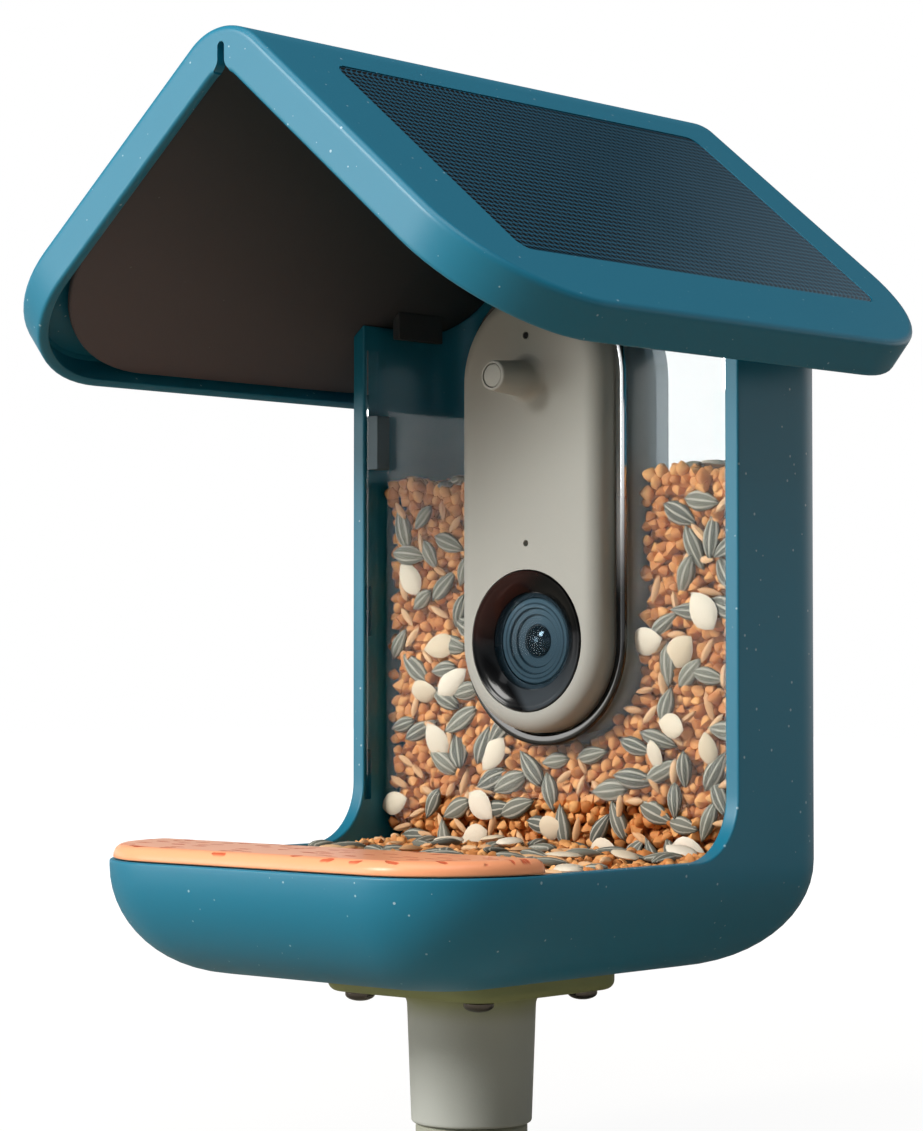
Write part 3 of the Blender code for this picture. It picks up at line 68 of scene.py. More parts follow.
class Wire:
    # A shader socket whose arithmetic adds Math nodes

    def __init__(self, finish, socket):
        self.finish, self.socket = finish, socket

    __add__, __radd__ = operator("ADD"), operator("ADD", True)
    __sub__, __rsub__ = operator("SUBTRACT"), operator("SUBTRACT", True)
    __mul__, __rmul__ = operator("MULTIPLY"), operator("MULTIPLY", True)
    __gt__, __lt__ = operator("GREATER_THAN"), operator("LESS_THAN")


class Tree:
    # The nodes of a material or of the world, with one method that adds any node

    def __init__(self, owner):
        owner.use_nodes = True
        self.tree = owner.node_tree

    def feed(self, node, values):
        for key, value in values.items():
            if isinstance(value, Wire):
                self.tree.links.new(value.socket, node.inputs[key])
            else:
                node.inputs[key].default_value = value

    def node(self, kind, settings, values, output=0):
        made = self.tree.nodes.new(kind)
        for key, value in settings.items():
            setattr(made, key, value)
        self.feed(made, values)
        return Wire(self, made.outputs[output])

    def maths(self, operation, *values):
        return self.node("ShaderNodeMath", {"operation": operation}, dict(enumerate(values)))

    def part(self, vector, output):
        return self.node("ShaderNodeSeparateXYZ", {}, {0: vector}, output)

    def rise(self, value, low, high, start=0.0, end=1.0):
        # A smooth step from start, at low and below, to end, at high and above
        values = {"Value": value, "From Min": low, "From Max": high, "To Min": start, "To Max": end}
        return self.node("ShaderNodeMapRange", {"interpolation_type": "SMOOTHSTEP"}, values)


class Finish(Tree):
    # A material on the principled shader

    def __init__(self, name, **sockets):
        self.material = bpy.data.materials.new(name)
        super().__init__(self.material)
        self.shader = self.tree.nodes["Principled BSDF"]
        self.own = Wire(self, self.shader.outputs[0])
        self.done(**sockets)

    def done(self, **sockets):
        # Socket names are written in camelCase: baseColor is "Base Color"
        for key, value in sockets.items():
            words = "".join(" " + letter if letter.isupper() else letter for letter in key).title()
            self.feed(self.shader, {words.replace("Ior", "IOR"): value})
        return self.material

    def mixed(self, share, first, second):
        both = self.node("ShaderNodeMixShader", {}, {0: share, 1: first, 2: second})
        self.tree.links.new(both.socket, self.tree.nodes["Material Output"].inputs["Surface"])
        return self.material

    def clear(self, share, tint):
        # Light passes and takes a tint, except for a share that meets the surface
        return self.mixed(share, self.node("ShaderNodeBsdfTransparent", {}, {"Color": tint}), self.own)

    def facing(self):
        # Mirror share by the facing angle: 0.04 square on, rising by the fifth power to 1 at the rim
        away = self.node("ShaderNodeLayerWeight", {}, {"Blend": 0.5}, "Facing")
        share = 0.96
        for power in range(5):
            share = share * away
        return 0.04 + share

    def place(self, stretch=(1.0, 1.0, 1.0)):
        spot = self.node("ShaderNodeTexCoord", {}, {}, "Object")
        return self.node("ShaderNodeVectorMath", {"operation": "MULTIPLY"}, {0: spot, 1: stretch})

    def noise(self, where, scale, detail=3.0):
        return self.node("ShaderNodeTexNoise", {}, {"Vector": where, "Scale": scale, "Detail": detail})

    def cells(self, where, scale, space="3D"):
        # Voronoi cells: the distance to a cell's middle, and a random value of the cell's own
        values = {"Vector": where, "Scale": scale}
        spot = self.node("ShaderNodeTexVoronoi", {"feature": "F1", "voronoi_dimensions": space}, values)
        tint = Wire(self, spot.socket.node.outputs["Color"])
        return spot, self.node("ShaderNodeSeparateColor", {}, {0: tint})

    def blend(self, share, first, second):
        return self.node("ShaderNodeMix", {"data_type": "RGBA"}, {0: share, 6: first, 7: second}, 2)

    def bump(self, height, distance, strength):
        return self.node("ShaderNodeBump", {}, {"Strength": strength, "Distance": distance, "Height": height})

    def normal(self, output):
        return self.part(self.node("ShaderNodeNewGeometry", {}, {}, "Normal"), output)

    def given(self, name):
        return self.node("ShaderNodeAttribute", {"attribute_name": name}, {}, "Fac")


# Finishes

def fleckedPlastic(name, base, flecks):
    # Moulded plastic: voronoi cells, three in four of which hold one tiny pale fleck of its own size
    finish = Finish(name, specularIorLevel=0.46)
    where = finish.place()
    wobble = finish.noise(where, 900.0, 2.0)
    spot, own = finish.cells(where, 290.0)
    small = finish.rise(0.030 + 0.085 * own * own + 0.03 * wobble - spot, 0.010, 0.030) * (own > 0.25)
    body = finish.blend(0.20 * finish.noise(where, 26.0), base, darker(base))
    skin = finish.noise(where, 2600.0, 2.0)
    return finish.done(baseColor=finish.blend(small * 0.6, body, flecks), roughness=0.38 + 0.08 * skin,
                       normal=finish.bump(skin, 0.00003, 0.3))


def mouldedPlastic(name, base, roughness, worn=None, fine=1800.0, depth=0.00005, gloss=0.25):
    # Plain moulded plastic: a fine skin, and a slow change of tone
    finish = Finish(name, specularIorLevel=gloss)
    where = finish.place()
    cloud, skin = finish.noise(where, 34.0, 4.0), finish.noise(where, fine)
    return finish.done(baseColor=finish.blend(0.45 * cloud, base, worn or darker(base)),
                       roughness=roughness + 0.12 * skin, normal=finish.bump(skin, depth, 0.5))


def bracketPlastic():
    # Grey-beige plastic that turns olive at the flange
    finish = Finish("bracketPlastic", specularIorLevel=0.22)
    where = finish.place()
    cloud, skin = finish.noise(where, 34.0, 4.0), finish.noise(where, 1300.0)
    sleeve = finish.blend(0.4 * cloud, shade(194, 196, 190), shade(182, 186, 176))
    flange = finish.rise(finish.part(where, "Z") + 0.002 * cloud, 0.0375, 0.0465)
    return finish.done(baseColor=finish.blend(flange, sleeve, shade(150, 154, 106)),
                       roughness=0.46 + 0.12 * skin, normal=finish.bump(skin, 0.00008, 0.5))


def linerPlastic():
    # Dark brown-green plastic, matt, with a few tiny flecks, and painted warm light towards the front left
    finish = Finish("darkPlastic", specularIorLevel=0.12)
    where = finish.place()
    spot, own = finish.cells(where, 210.0)
    fleck = finish.rise(0.07 * own - spot, 0.0, 0.012) * (own > 0.5)
    # Painted warm light: the colour turns pink-grey towards the front left
    paintedWarmLight = finish.rise(-0.35 * finish.part(where, "Y") - finish.part(where, "X"), 0.0, 0.115)
    base = finish.blend(paintedWarmLight, shade(30, 48, 52), shade(100, 92, 94))
    skin = finish.noise(where, 1500.0)
    return finish.done(baseColor=finish.blend(fleck * 0.5, base, shade(120, 128, 124)),
                       roughness=0.58 + 0.1 * skin, normal=finish.bump(skin, 0.00005, 0.5))


def perchPlastic():
    # Orange plastic with short worm-like dashes pressed into its top: stretched cells, cut at a threshold
    finish = Finish("orangePlastic", specularIorLevel=0.3)
    spot = finish.place()
    along, bend = finish.part(spot, "X"), finish.noise(spot, 260.0, 2.0)
    stretched = {"X": along * 0.30, "Y": finish.part(spot, "Y") + 0.0022 * bend}
    lines, own = finish.cells(finish.node("ShaderNodeCombineXYZ", {}, stretched), 330.0, "2D")
    up = finish.rise(finish.normal("Z"), 0.50, 0.80)
    dash = finish.rise(0.15 + 0.16 * own - lines, 0.0, 0.06) * (own > 0.42) * up
    base = finish.blend(0.5 * finish.noise(spot, 40.0), shade(250, 172, 128), shade(246, 160, 114))
    # Painted shade: the cap turns a deeper orange towards its right end
    base = finish.blend(finish.rise(along, -0.02, 0.068) * 0.55, base, shade(250, 160, 112))
    skin = finish.noise(spot, 1700.0, 2.0)
    return finish.done(baseColor=finish.blend(dash * 0.9, base, shade(198, 82, 46)),
                       roughness=0.30 + 0.25 * dash, normal=finish.bump(0.10 * skin - dash, 0.00025, 0.9))


def clearPlastic(name, haze, gleam=None, edge=0.0):
    # Clear plastic: light passes, and a faint mirror gloss comes in by the facing angle, with a little dust.
    # Edges that face the front can gleam above a height, and the rim round a panel can be made to show.
    finish = Finish(name, baseColor=shade(248, 250, 251), roughness=0.06, metallic=1.0)
    where = finish.place()
    dust = finish.rise(finish.noise(where, 70.0, 5.0), 0.45, 0.85)
    share = finish.facing() * 0.06 + haze + 0.002 * dust
    if edge:
        side = finish.part(finish.node("ShaderNodeTexCoord", {}, {}, "Normal"), "Y")
        share = share + edge * (side * side < 0.3)
    if gleam:
        share = share + (finish.normal("Y") < -0.8) * finish.rise(finish.part(where, "Z"), *gleam) * 0.8
    return finish.clear(share, shade(253, 254, 254))


def smokedPlastic(name, tint, share):
    # Half-clear slate plastic
    finish = Finish(name, roughness=0.25, specularIorLevel=0.3)
    cloud = finish.noise(finish.place(), 60.0)
    finish.done(baseColor=finish.blend(0.5 * cloud, tint, darker(tint)))
    return finish.clear(share + 0.1 * cloud, shade(226, 234, 238))


def glassFinish(name, tint, clear):
    # Coated lens glass: dark gloss that turns clear where it is seen square on
    finish = Finish(name, baseColor=tint, roughness=0.03, specularIorLevel=0.15)
    return finish.clear(finish.facing() + (1 - clear), shade(225, 236, 242))


def glossBlack(name, base, roughness):
    # Smeared dark gloss under a full coat
    finish = Finish(name, coatRoughness=0.03, coatWeight=1.0, specularIorLevel=0.4)
    smear = finish.noise(finish.place((1.0, 1.0, 0.3)), 240.0)
    return finish.done(baseColor=finish.blend(smear * 0.4, base, shade(20, 22, 25)),
                       roughness=roughness + 0.06 * smear)


def dishBlack():
    # Lens dish: glossy black with painted reflections: deep black above, a red-brown tinge towards its upper left,
    # slate grey below, and dark again at the lower left
    finish = Finish("dishBlack", coatWeight=0.06, coatRoughness=0.05, specularIorLevel=0.10)
    where = finish.place()
    smear = finish.noise(where, 300.0)
    height, across = finish.part(where, "Z"), finish.part(where, "X")
    # Painted reflections, set by height and by the place across
    base = finish.blend(finish.rise(height + 0.002 * smear, 0.1405, 0.1225), shade(7, 8, 9), shade(60, 66, 71))
    paintedRedTinge = finish.rise(height - across * 0.9 + 0.003 * smear, 0.1500, 0.1625)
    base = finish.blend(paintedRedTinge * 0.8, base, shade(52, 30, 27))
    base = finish.blend(finish.rise(height + across, 0.1215, 0.1180), base, shade(10, 11, 13))
    return finish.done(baseColor=base, roughness=0.12 + 0.06 * smear)


def ringWithPaintedReflection():
    # Pocket ring: glossy black plastic, with a painted reflection that turns it to pale metal towards the top
    finish = Finish("ringWithPaintedReflection", specularIorLevel=0.5)
    where = finish.place()
    smear = finish.noise(where, 120.0, 2.0)
    paintedReflection = finish.rise(finish.part(where, "Z") + 0.006 * smear, 0.150, 0.196)
    return finish.done(baseColor=finish.blend(paintedReflection, shade(12, 13, 15), shade(226, 228, 230)), metallic=paintedReflection,
                       roughness=0.07 + 0.05 * smear)


def barrelPlastic():
    # Slate plastic with painted light, lighter towards the top, and thin dark lines round the lens axis at the steps'
    # edges
    finish = Finish("barrelPlastic", specularIorLevel=0.2)
    where = finish.place()
    skin = finish.noise(where, 1800.0)
    height, across = finish.part(where, "Z") - camera["lens"], finish.part(where, "X")
    reach = finish.maths("SQRT", across * across + height * height)
    # Painted light: lighter towards the top
    base = finish.blend(finish.rise(height, -0.004, 0.011), shade(108, 122, 128), shade(146, 160, 166))
    for radius in (0.0045, 0.0072, 0.0090, 0.0103):
        line = finish.rise(finish.maths("ABSOLUTE", reach - radius), 0.00034, 0.00014)
        base = finish.blend(line * 0.8, base, shade(52, 66, 74))
    return finish.done(baseColor=base, roughness=0.34 + 0.1 * skin, normal=finish.bump(skin, 0.00003, 0.4))


def metalFinish(name, base, roughness):
    # Plated metal: brushed by a noise stretched round the axis, with a few dull patches
    finish = Finish(name, metallic=1.0)
    brush = finish.noise(finish.place((1.0, 1.0, 0.15)), 1500.0, 2.0)
    dull = finish.rise(finish.noise(finish.place(), 420.0), 0.5, 0.75)
    return finish.done(baseColor=finish.blend(dull * 0.5, base, darker(base, 0.45)),
                       roughness=roughness + 0.18 * dull + 0.08 * brush, normal=finish.bump(brush, 0.00003, 0.4))


def solarFinish():
    # Solar laminate: dark domes over a teal net, with a painted sheen that greys it towards the lower rear corner
    finish = Finish("solarCell", coatWeight=0.05, coatRoughness=0.12, specularIorLevel=0.12)
    where = finish.place()
    weave, cloud = finish.noise(where, 1900.0, 2.0), finish.noise(where, 30.0)
    down = finish.maths("ABSOLUTE", finish.part(where, "X"))
    # Painted sheen: domes and net turn greyer towards the eave and the rear
    pale = finish.rise(down * 1.6 + finish.part(where, "Y") + 0.03 * cloud, 0.075, 0.225)
    dots = finish.blend(pale, shade(2, 4, 6), shade(66, 80, 92))
    net = finish.blend(pale * 0.6, shade(28, 90, 116), shade(92, 126, 142))
    return finish.done(baseColor=finish.blend(finish.rise(finish.given("dome"), 0.06, 0.24), net, dots),
                       roughness=0.26 + 0.16 * weave, normal=finish.bump(weave, 0.00004, 0.5))


def seedFinish(name, light, deep, striped=None):
    # Husk: two tones mixed by a tone of its own, and for sunflower pale stripes across its width
    finish = Finish(name, specularIorLevel=0.3)
    tone, speck = finish.given("tone"), finish.noise(finish.place(), 1500.0)
    base = finish.blend(finish.rise(tone + 0.35 * speck, 0.15, 1.15), light, deep)
    if striped:
        wave = finish.maths("SINE", finish.given("across") * 9.0 + tone * 2.0 + 0.8 * speck)
        base = finish.blend(finish.rise(wave, 0.45, 0.90), base, striped)
    ends = finish.rise(finish.given("along"), 0.70, 1.0)
    return finish.done(baseColor=finish.blend(0.45 * ends, base, darker(deep, 0.5)),
                       roughness=0.55 + 0.15 * speck, normal=finish.bump(speck, 0.00010, 0.6))


finishes = dict(
    blue=fleckedPlastic("bluePlastic", shade(14, 115, 143), shade(186, 212, 222)),
    darkBlue=linerPlastic(),
    orange=perchPlastic(),
    clear=clearPlastic("clearPlastic", 0.002),
    hatch=clearPlastic("hatchPlastic", 0.012, None, 0.45),
    collar=smokedPlastic("collarPlastic", shade(176, 190, 198), 0.40),
    lip=clearPlastic("lipPlastic", 0.01, (0.2030, 0.2045)),
    frosted=mouldedPlastic("frostedPlastic", shade(98, 120, 132), 0.40, shade(86, 108, 120)),
    black=dishBlack(),
    ringReflection=ringWithPaintedReflection(),
    module=mouldedPlastic("modulePlastic", shade(174, 175, 169), 0.46, shade(167, 168, 161), gloss=0.15),
    bracket=bracketPlastic(),
    adapter=mouldedPlastic("adapterPlastic", shade(176, 178, 162), 0.52, None, 1300.0, 0.00008),
    rubber=mouldedPlastic("gasketRubber", shade(28, 28, 29), 0.75),
    glass=glassFinish("lensGlass", shade(34, 52, 62), 0.90),
    deepGlass=glossBlack("frontLensGlass", shade(18, 30, 38), 0.02),
    barrel=barrelPlastic(),
    part=mouldedPlastic("partBlack", shade(24, 24, 26), 0.55),
    steel=metalFinish("screwSteel", shade(104, 98, 94), 0.14),
    pin=metalFinish("pinSteel", shade(190, 192, 194), 0.22),
    socket=metalFinish("socketSteel", shade(178, 180, 182), 0.28),
    board=mouldedPlastic("circuitBoard", shade(24, 96, 54), 0.42, shade(18, 76, 44)),
    foil=mouldedPlastic("batteryFoil", shade(150, 156, 160), 0.38),
    solar=solarFinish(),
    grain=seedFinish("grainHusk", shade(240, 178, 112), shade(206, 132, 72)),
    sunflower=seedFinish("sunflowerHusk", shade(124, 124, 112), shade(94, 96, 88), shade(184, 181, 168)),
    pumpkin=seedFinish("pumpkinHusk", shade(238, 228, 210), shade(224, 206, 178)),
    oat=seedFinish("oatHusk", shade(232, 190, 146), shade(214, 164, 118)),
    bed=mouldedPlastic("seedBed", shade(150, 92, 54), 0.80, shade(84, 50, 30), 260.0, 0.0012),
)
print("finishes made:", len(finishes))


# Mesh helpers

def gridFaces(rows, columns):
    # Quads between rows of points whose last column joins the first
    row, column = np.meshgrid(np.arange(rows - 1), np.arange(columns), indexing="ij")
    after = (column + 1) % columns
    low, high = row * columns, (row + 1) * columns
    return np.stack([low + column, low + after, high + after, high + column], -1).reshape(-1, 4)


def meshObject(points, faces, name="form", weld=True, outward=True):
    mesh = bpy.data.meshes.new(name)
    mesh.from_pydata(np.asarray(points).reshape(-1, 3).tolist(), [], faces)
    if outward:
        work = bmesh.new()
        work.from_mesh(mesh)
        if weld:
            bmesh.ops.remove_doubles(work, verts=work.verts, dist=1e-6)
        bmesh.ops.recalc_face_normals(work, faces=work.faces)
        work.to_mesh(mesh)
        work.free()
    holder = bpy.data.objects.new(name, mesh)
    bpy.context.scene.collection.objects.link(holder)
    return holder


def shell(rows, capStart=True, capEnd=True, loop=False):
    # A closed surface through rows of equally many points: its ends are capped, or it closes on itself
    grid = np.asarray(rows, dtype=float)
    if loop:
        grid = np.concatenate([grid, grid[:1]])
    count, columns = grid.shape[:2]
    faces = gridFaces(count, columns).tolist()
    if capStart and not loop:
        faces.append(list(range(columns))[::-1])
    if capEnd and not loop:
        faces.append([(count - 1) * columns + place for place in range(columns)])
    return meshObject(grid, faces)


def carve(piece, cutter, operation="DIFFERENCE"):
    step = piece.modifiers.new("carve", "BOOLEAN")
    step.operation = operation
    step.object = cutter
    step.solver = "EXACT"
    graph = bpy.context.evaluated_depsgraph_get()
    graph.update()
    mesh = bpy.data.meshes.new_from_object(piece.evaluated_get(graph))
    piece.modifiers.clear()
    spent = piece.data, cutter.data
    piece.data = mesh
    bpy.data.objects.remove(cutter)
    for old in spent:
        bpy.data.meshes.remove(old)


def carried(piece, node, body, sharp):
    # Smooth shading up to an angle, the body that carries the piece, and the node it stands for
    piece.data.shade_smooth()
    piece.data.set_sharp_from_angle(angle=math.radians(sharp))
    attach(piece, body)
    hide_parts(node)


def settle(piece, name, node, finish, body, bevel=0.0, sharp=32):
    # Last steps of a piece: its name, its finish and a fine bevel
    piece.name = piece.data.name = name
    piece.data.materials.clear()
    piece.data.materials.append(finishes[finish])
    if bevel:
        edge = piece.modifiers.new("edge", "BEVEL")
        edge.width = bevel
        edge.segments = 2
        edge.limit_method = "ANGLE"
        edge.angle_limit = math.radians(sharp)
        edge.harden_normals = True
    carried(piece, node, body, sharp)


def label(mesh, name, values):
    # A value at every point, which the finish reads
    mesh.attributes.new(name, "FLOAT", "POINT").data.foreach_set("value", values.astype(np.float32))


def quarter(count, reach=90):
    # Steps of a rounded edge: 1 less the sine and 1 less the cosine, so the first falls to 0 as the second rises
    turn = np.radians(np.linspace(0, reach, count))
    return [(1 - math.sin(angle), 1 - math.cos(angle)) for angle in turn]


def arcPairs(centreU, centreV, radius, start, end, steps):
    # Points of an arc in a plane, from one angle to another in degrees
    angle = np.radians(np.linspace(start, end, steps + 1))
    return np.stack([centreU + radius * np.cos(angle), centreV + radius * np.sin(angle)], -1)


def roundedBox(low, high, radii, steps=10):
    # A rectangle with a radius at each corner, or one for all, anticlockwise from the low-low one
    radii = np.broadcast_to(radii, 4)
    centres = [(low[0] + radii[0], low[1] + radii[0]), (high[0] - radii[1], low[1] + radii[1]),
               (high[0] - radii[2], high[1] - radii[2]), (low[0] + radii[3], high[1] - radii[3])]
    return np.concatenate([arcPairs(*centres[turn], radii[turn], 180 + 90 * turn, 270 + 90 * turn, steps)
                           for turn in range(4)])


def crossing(outline, level):
    # A flat outline in y and z, at a place across x
    return np.insert(outline, 0, level, axis=1)


def upright(outline, level):
    # A flat outline in x and z, at a depth y
    return np.insert(outline, 1, level, axis=1)


def lying(outline, level):
    # A flat outline in x and y, at a height z
    return np.insert(outline, 2, level, axis=1)


def prism(outline, low, high, stand):
    # An outline carried straight between two levels
    return shell([stand(outline, low), stand(outline, high)])


def turned(profile, centre, facing, steps, loop=False):
    # Profile of (radius, height) turned round an axis through centre: heights run up, to the front or along x
    profile = np.asarray(profile, dtype=float)
    angle = np.linspace(0, 2 * np.pi, steps, endpoint=False)
    radius, height = profile[:, :1], profile[:, 1:] + 0 * angle
    first, second = radius * np.cos(angle), radius * np.sin(angle)
    ways = dict(up=(first, second, height), front=(first, -height, second), side=(height, first, second))
    return shell(np.stack(ways[facing], -1) + centre, False, False, loop)


def drill(piece, radius, ends, centre, facing, steps=24):
    # A round hole between two heights on its axis
    rod = [(0, ends[0]), (radius, ends[0]), (radius, ends[1]), (0, ends[1])]
    carve(piece, turned(rod, centre, facing, steps))


def refined(node, finish, body, bevel):
    # A copy of a plain node, welded, its flat faces made whole, with fine bevels on its edges
    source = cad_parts[node]
    source = bpy.data.objects[source] if isinstance(source, str) else source
    work = bmesh.new()
    work.from_mesh(source.data)
    for layer in list(work.loops.layers.float_vector.values()):
        work.loops.layers.float_vector.remove(layer)
    bmesh.ops.remove_doubles(work, verts=work.verts, dist=2e-6)
    bmesh.ops.dissolve_limit(work, angle_limit=math.radians(0.5), verts=work.verts, edges=work.edges)
    work.verts.index_update()
    points = np.array([vertex.co for vertex in work.verts])
    faces = [[vertex.index for vertex in face.verts] for face in work.faces]
    work.free()
    settle(meshObject(points, faces), node + "_fine", node, finish, body, bevel)


# Roof section shared by the walls, the window and the roof's own pieces

roof = dict(
    apex=0.2950, halfWidth=0.0949, halfDepth=0.0935, thickness=0.0112, skin=0.003, rimWall=0.003,
    corner=0.037, ridgeRadius=0.0179, edgeRound=0.0017, slope=0.83,
    linerDepth=0.0064, linerThickness=0.002, linerGap=0.0008, linerCorner=0.050,
    slotHalf=0.0012, slotFoot=0.0027, slotFootHeight=0.0028, slotHeight=0.0072,
)
slopeAngle = math.atan(roof["slope"])
ridgeCentre = roof["apex"] - roof["ridgeRadius"] / math.cos(slopeAngle)
ridgeArc = roof["ridgeRadius"] * slopeAngle
eaveRun = ridgeArc + (roof["halfWidth"] - roof["ridgeRadius"] * math.sin(slopeAngle)) / math.cos(slopeAngle)


def roofPoint(run, depth):
    # Section of the fold: a turn about the ridge's centre, then a straight slope; depth is square to both
    turned = np.minimum(np.abs(run) / roof["ridgeRadius"], slopeAngle)
    straight = np.maximum(np.abs(run) - ridgeArc, 0)
    reach = roof["ridgeRadius"] - depth
    x = reach * np.sin(turned) + straight * math.cos(slopeAngle)
    z = ridgeCentre + reach * np.cos(turned) - straight * math.sin(slopeAngle)
    return np.sign(run) * x, z


def roofLine(x, depth):
    # Height of the section at a depth, above a place across: circle near the ridge, straight beyond
    reach = roof["ridgeRadius"] - depth
    edge = reach * math.sin(slopeAngle)
    curved = np.sqrt(np.maximum(reach ** 2 - np.minimum(np.abs(x), reach) ** 2, 0))
    straight = reach * math.cos(slopeAngle) - (np.abs(x) - edge) * roof["slope"]
    return ridgeCentre + np.where(np.abs(x) < edge, curved, straight)


# Body moulding

housing = dict(
    half=0.069, front=-0.0844, back=0.0708, wallFront=0.0264, wall=0.0043, floorLow=0.0516,
    floorTop=0.0566, rim=0.0812, frontCorner=0.031, rearCorner=0.016, floorCorner=0.012,
    fillet=0.028, sweep=0.017, edgeRound=0.0005, support=0.0004, cornerSteps=18, filletSteps=14,
    topDepth=0.0087,
)
sideStart = housing["front"] + housing["frontCorner"]
sideEnd = housing["back"] - housing["rearCorner"]
sweepStart = housing["wallFront"] - housing["sweep"]
sideFeet = np.concatenate([
    np.linspace(sideStart, sweepStart, 12)[1:], np.linspace(sweepStart, 0.030, 17)[1:],
    np.linspace(0.030, 0.045, 21)[1:], np.linspace(0.045, sideEnd, 9)[1:-1],
])
sideShares = (sideFeet - sideStart) / (sideEnd - sideStart)
frontShares = np.linspace(0, 1, 14)[1:-1]
backShares = np.linspace(0, 1, 61)[1:-1]


def bodyRing(inset, frontRadius, rearRadius):
    # The body's outline drawn in by an inset: corners as arcs, straight stretches by shares of their length
    h = housing
    left, right = inset - h["half"], h["half"] - inset
    low, high = h["front"] + inset, h["back"] - inset
    steps = h["cornerSteps"]
    span = high - rearRadius - low - frontRadius
    sideY = low + frontRadius + span * sideShares
    frontX = left + frontRadius + (right - left - 2 * frontRadius) * frontShares
    backX = right - rearRadius - (right - left - 2 * rearRadius) * backShares
    return np.concatenate([
        arcPairs(left + frontRadius, low + frontRadius, frontRadius, 180, 270, steps),
        np.stack([frontX, np.full(len(frontX), low)], -1),
        arcPairs(right - frontRadius, low + frontRadius, frontRadius, 270, 360, steps),
        np.stack([np.full(len(sideY), right), sideY], -1),
        arcPairs(right - rearRadius, high - rearRadius, rearRadius, 0, 90, steps),
        np.stack([backX, np.full(len(backX), high)], -1),
        arcPairs(left + rearRadius, high - rearRadius, rearRadius, 90, 180, steps),
        np.stack([np.full(len(sideY), left), sideY[::-1]], -1),
    ])


def wallTops(inset):
    # Where each column ends: the rim, the swept edge, the front edge, then the roof's line. With way out.
    h = housing
    ring = bodyRing(inset, h["frontCorner"] - inset, h["rearCorner"] - inset)
    corner = h["cornerSteps"] + 1
    levels = np.where(ring[:, 1] < 0.050, h["rim"], roofLine(ring[:, 0], h["topDepth"]))
    tops = np.concatenate([ring, levels[:, None]], -1)
    ways = np.tile([0.0, 0.0, 1.0], (len(ring), 1))
    ceiling = float(roofLine(h["half"] - inset, h["topDepth"]))
    turn = np.radians(np.linspace(-90, 0, 17)[1:])
    climb = np.linspace(0, 1, 21)[1:]
    along = np.linspace(h["wallFront"], sideEnd, 9)[1:-1]
    sideY = np.concatenate([np.linspace(sideStart, sweepStart, 12)[1:], sweepStart + h["sweep"] * np.cos(turn),
                            np.full(20, h["wallFront"]), along])
    middle = h["rim"] + h["sweep"]
    sideZ = np.concatenate([np.full(11, h["rim"]), middle + h["sweep"] * np.sin(turn),
                            middle + (ceiling - middle) * climb, np.full(len(along), ceiling)])
    sideWays = np.concatenate([np.tile([0.0, 0.0, 1.0], (11, 1)),
                               np.stack([0 * turn, -np.cos(turn), -np.sin(turn)], -1),
                               np.tile([0.0, -1.0, 0.0], (20, 1)), np.tile([0.0, 0.0, 1.0], (len(along), 1))])
    sideWays[46] = (0.0, -1.0, 1.0)
    start = 2 * corner + len(frontShares)
    count = len(sideFeet)
    tops[start:start + count, 1], tops[start:start + count, 2] = sideY, sideZ
    ways[start:start + count] = sideWays
    tops[-count:, 1], tops[-count:, 2] = sideY[::-1], sideZ[::-1]
    ways[-count:] = sideWays[::-1]
    return tops, ways


def filletRows(inset, floor):
    # Ball-cornered floor: a quarter turn from flat to upright while the corner radii open out
    h = housing
    fillet = h["fillet"] - inset
    flat = h["floorCorner"] - h["wall"]
    rows = [lying(bodyRing(inset + fillet + h["wall"], flat, flat), floor)]
    for share, climb in quarter(h["filletSteps"] + 1):
        front, rear = [(h[corner] - inset) * (1 - share) + h["floorCorner"] * share
                       for corner in ("frontCorner", "rearCorner")]
        rows.append(lying(bodyRing(inset + fillet * share, front, rear), floor + fillet * climb))
    return rows


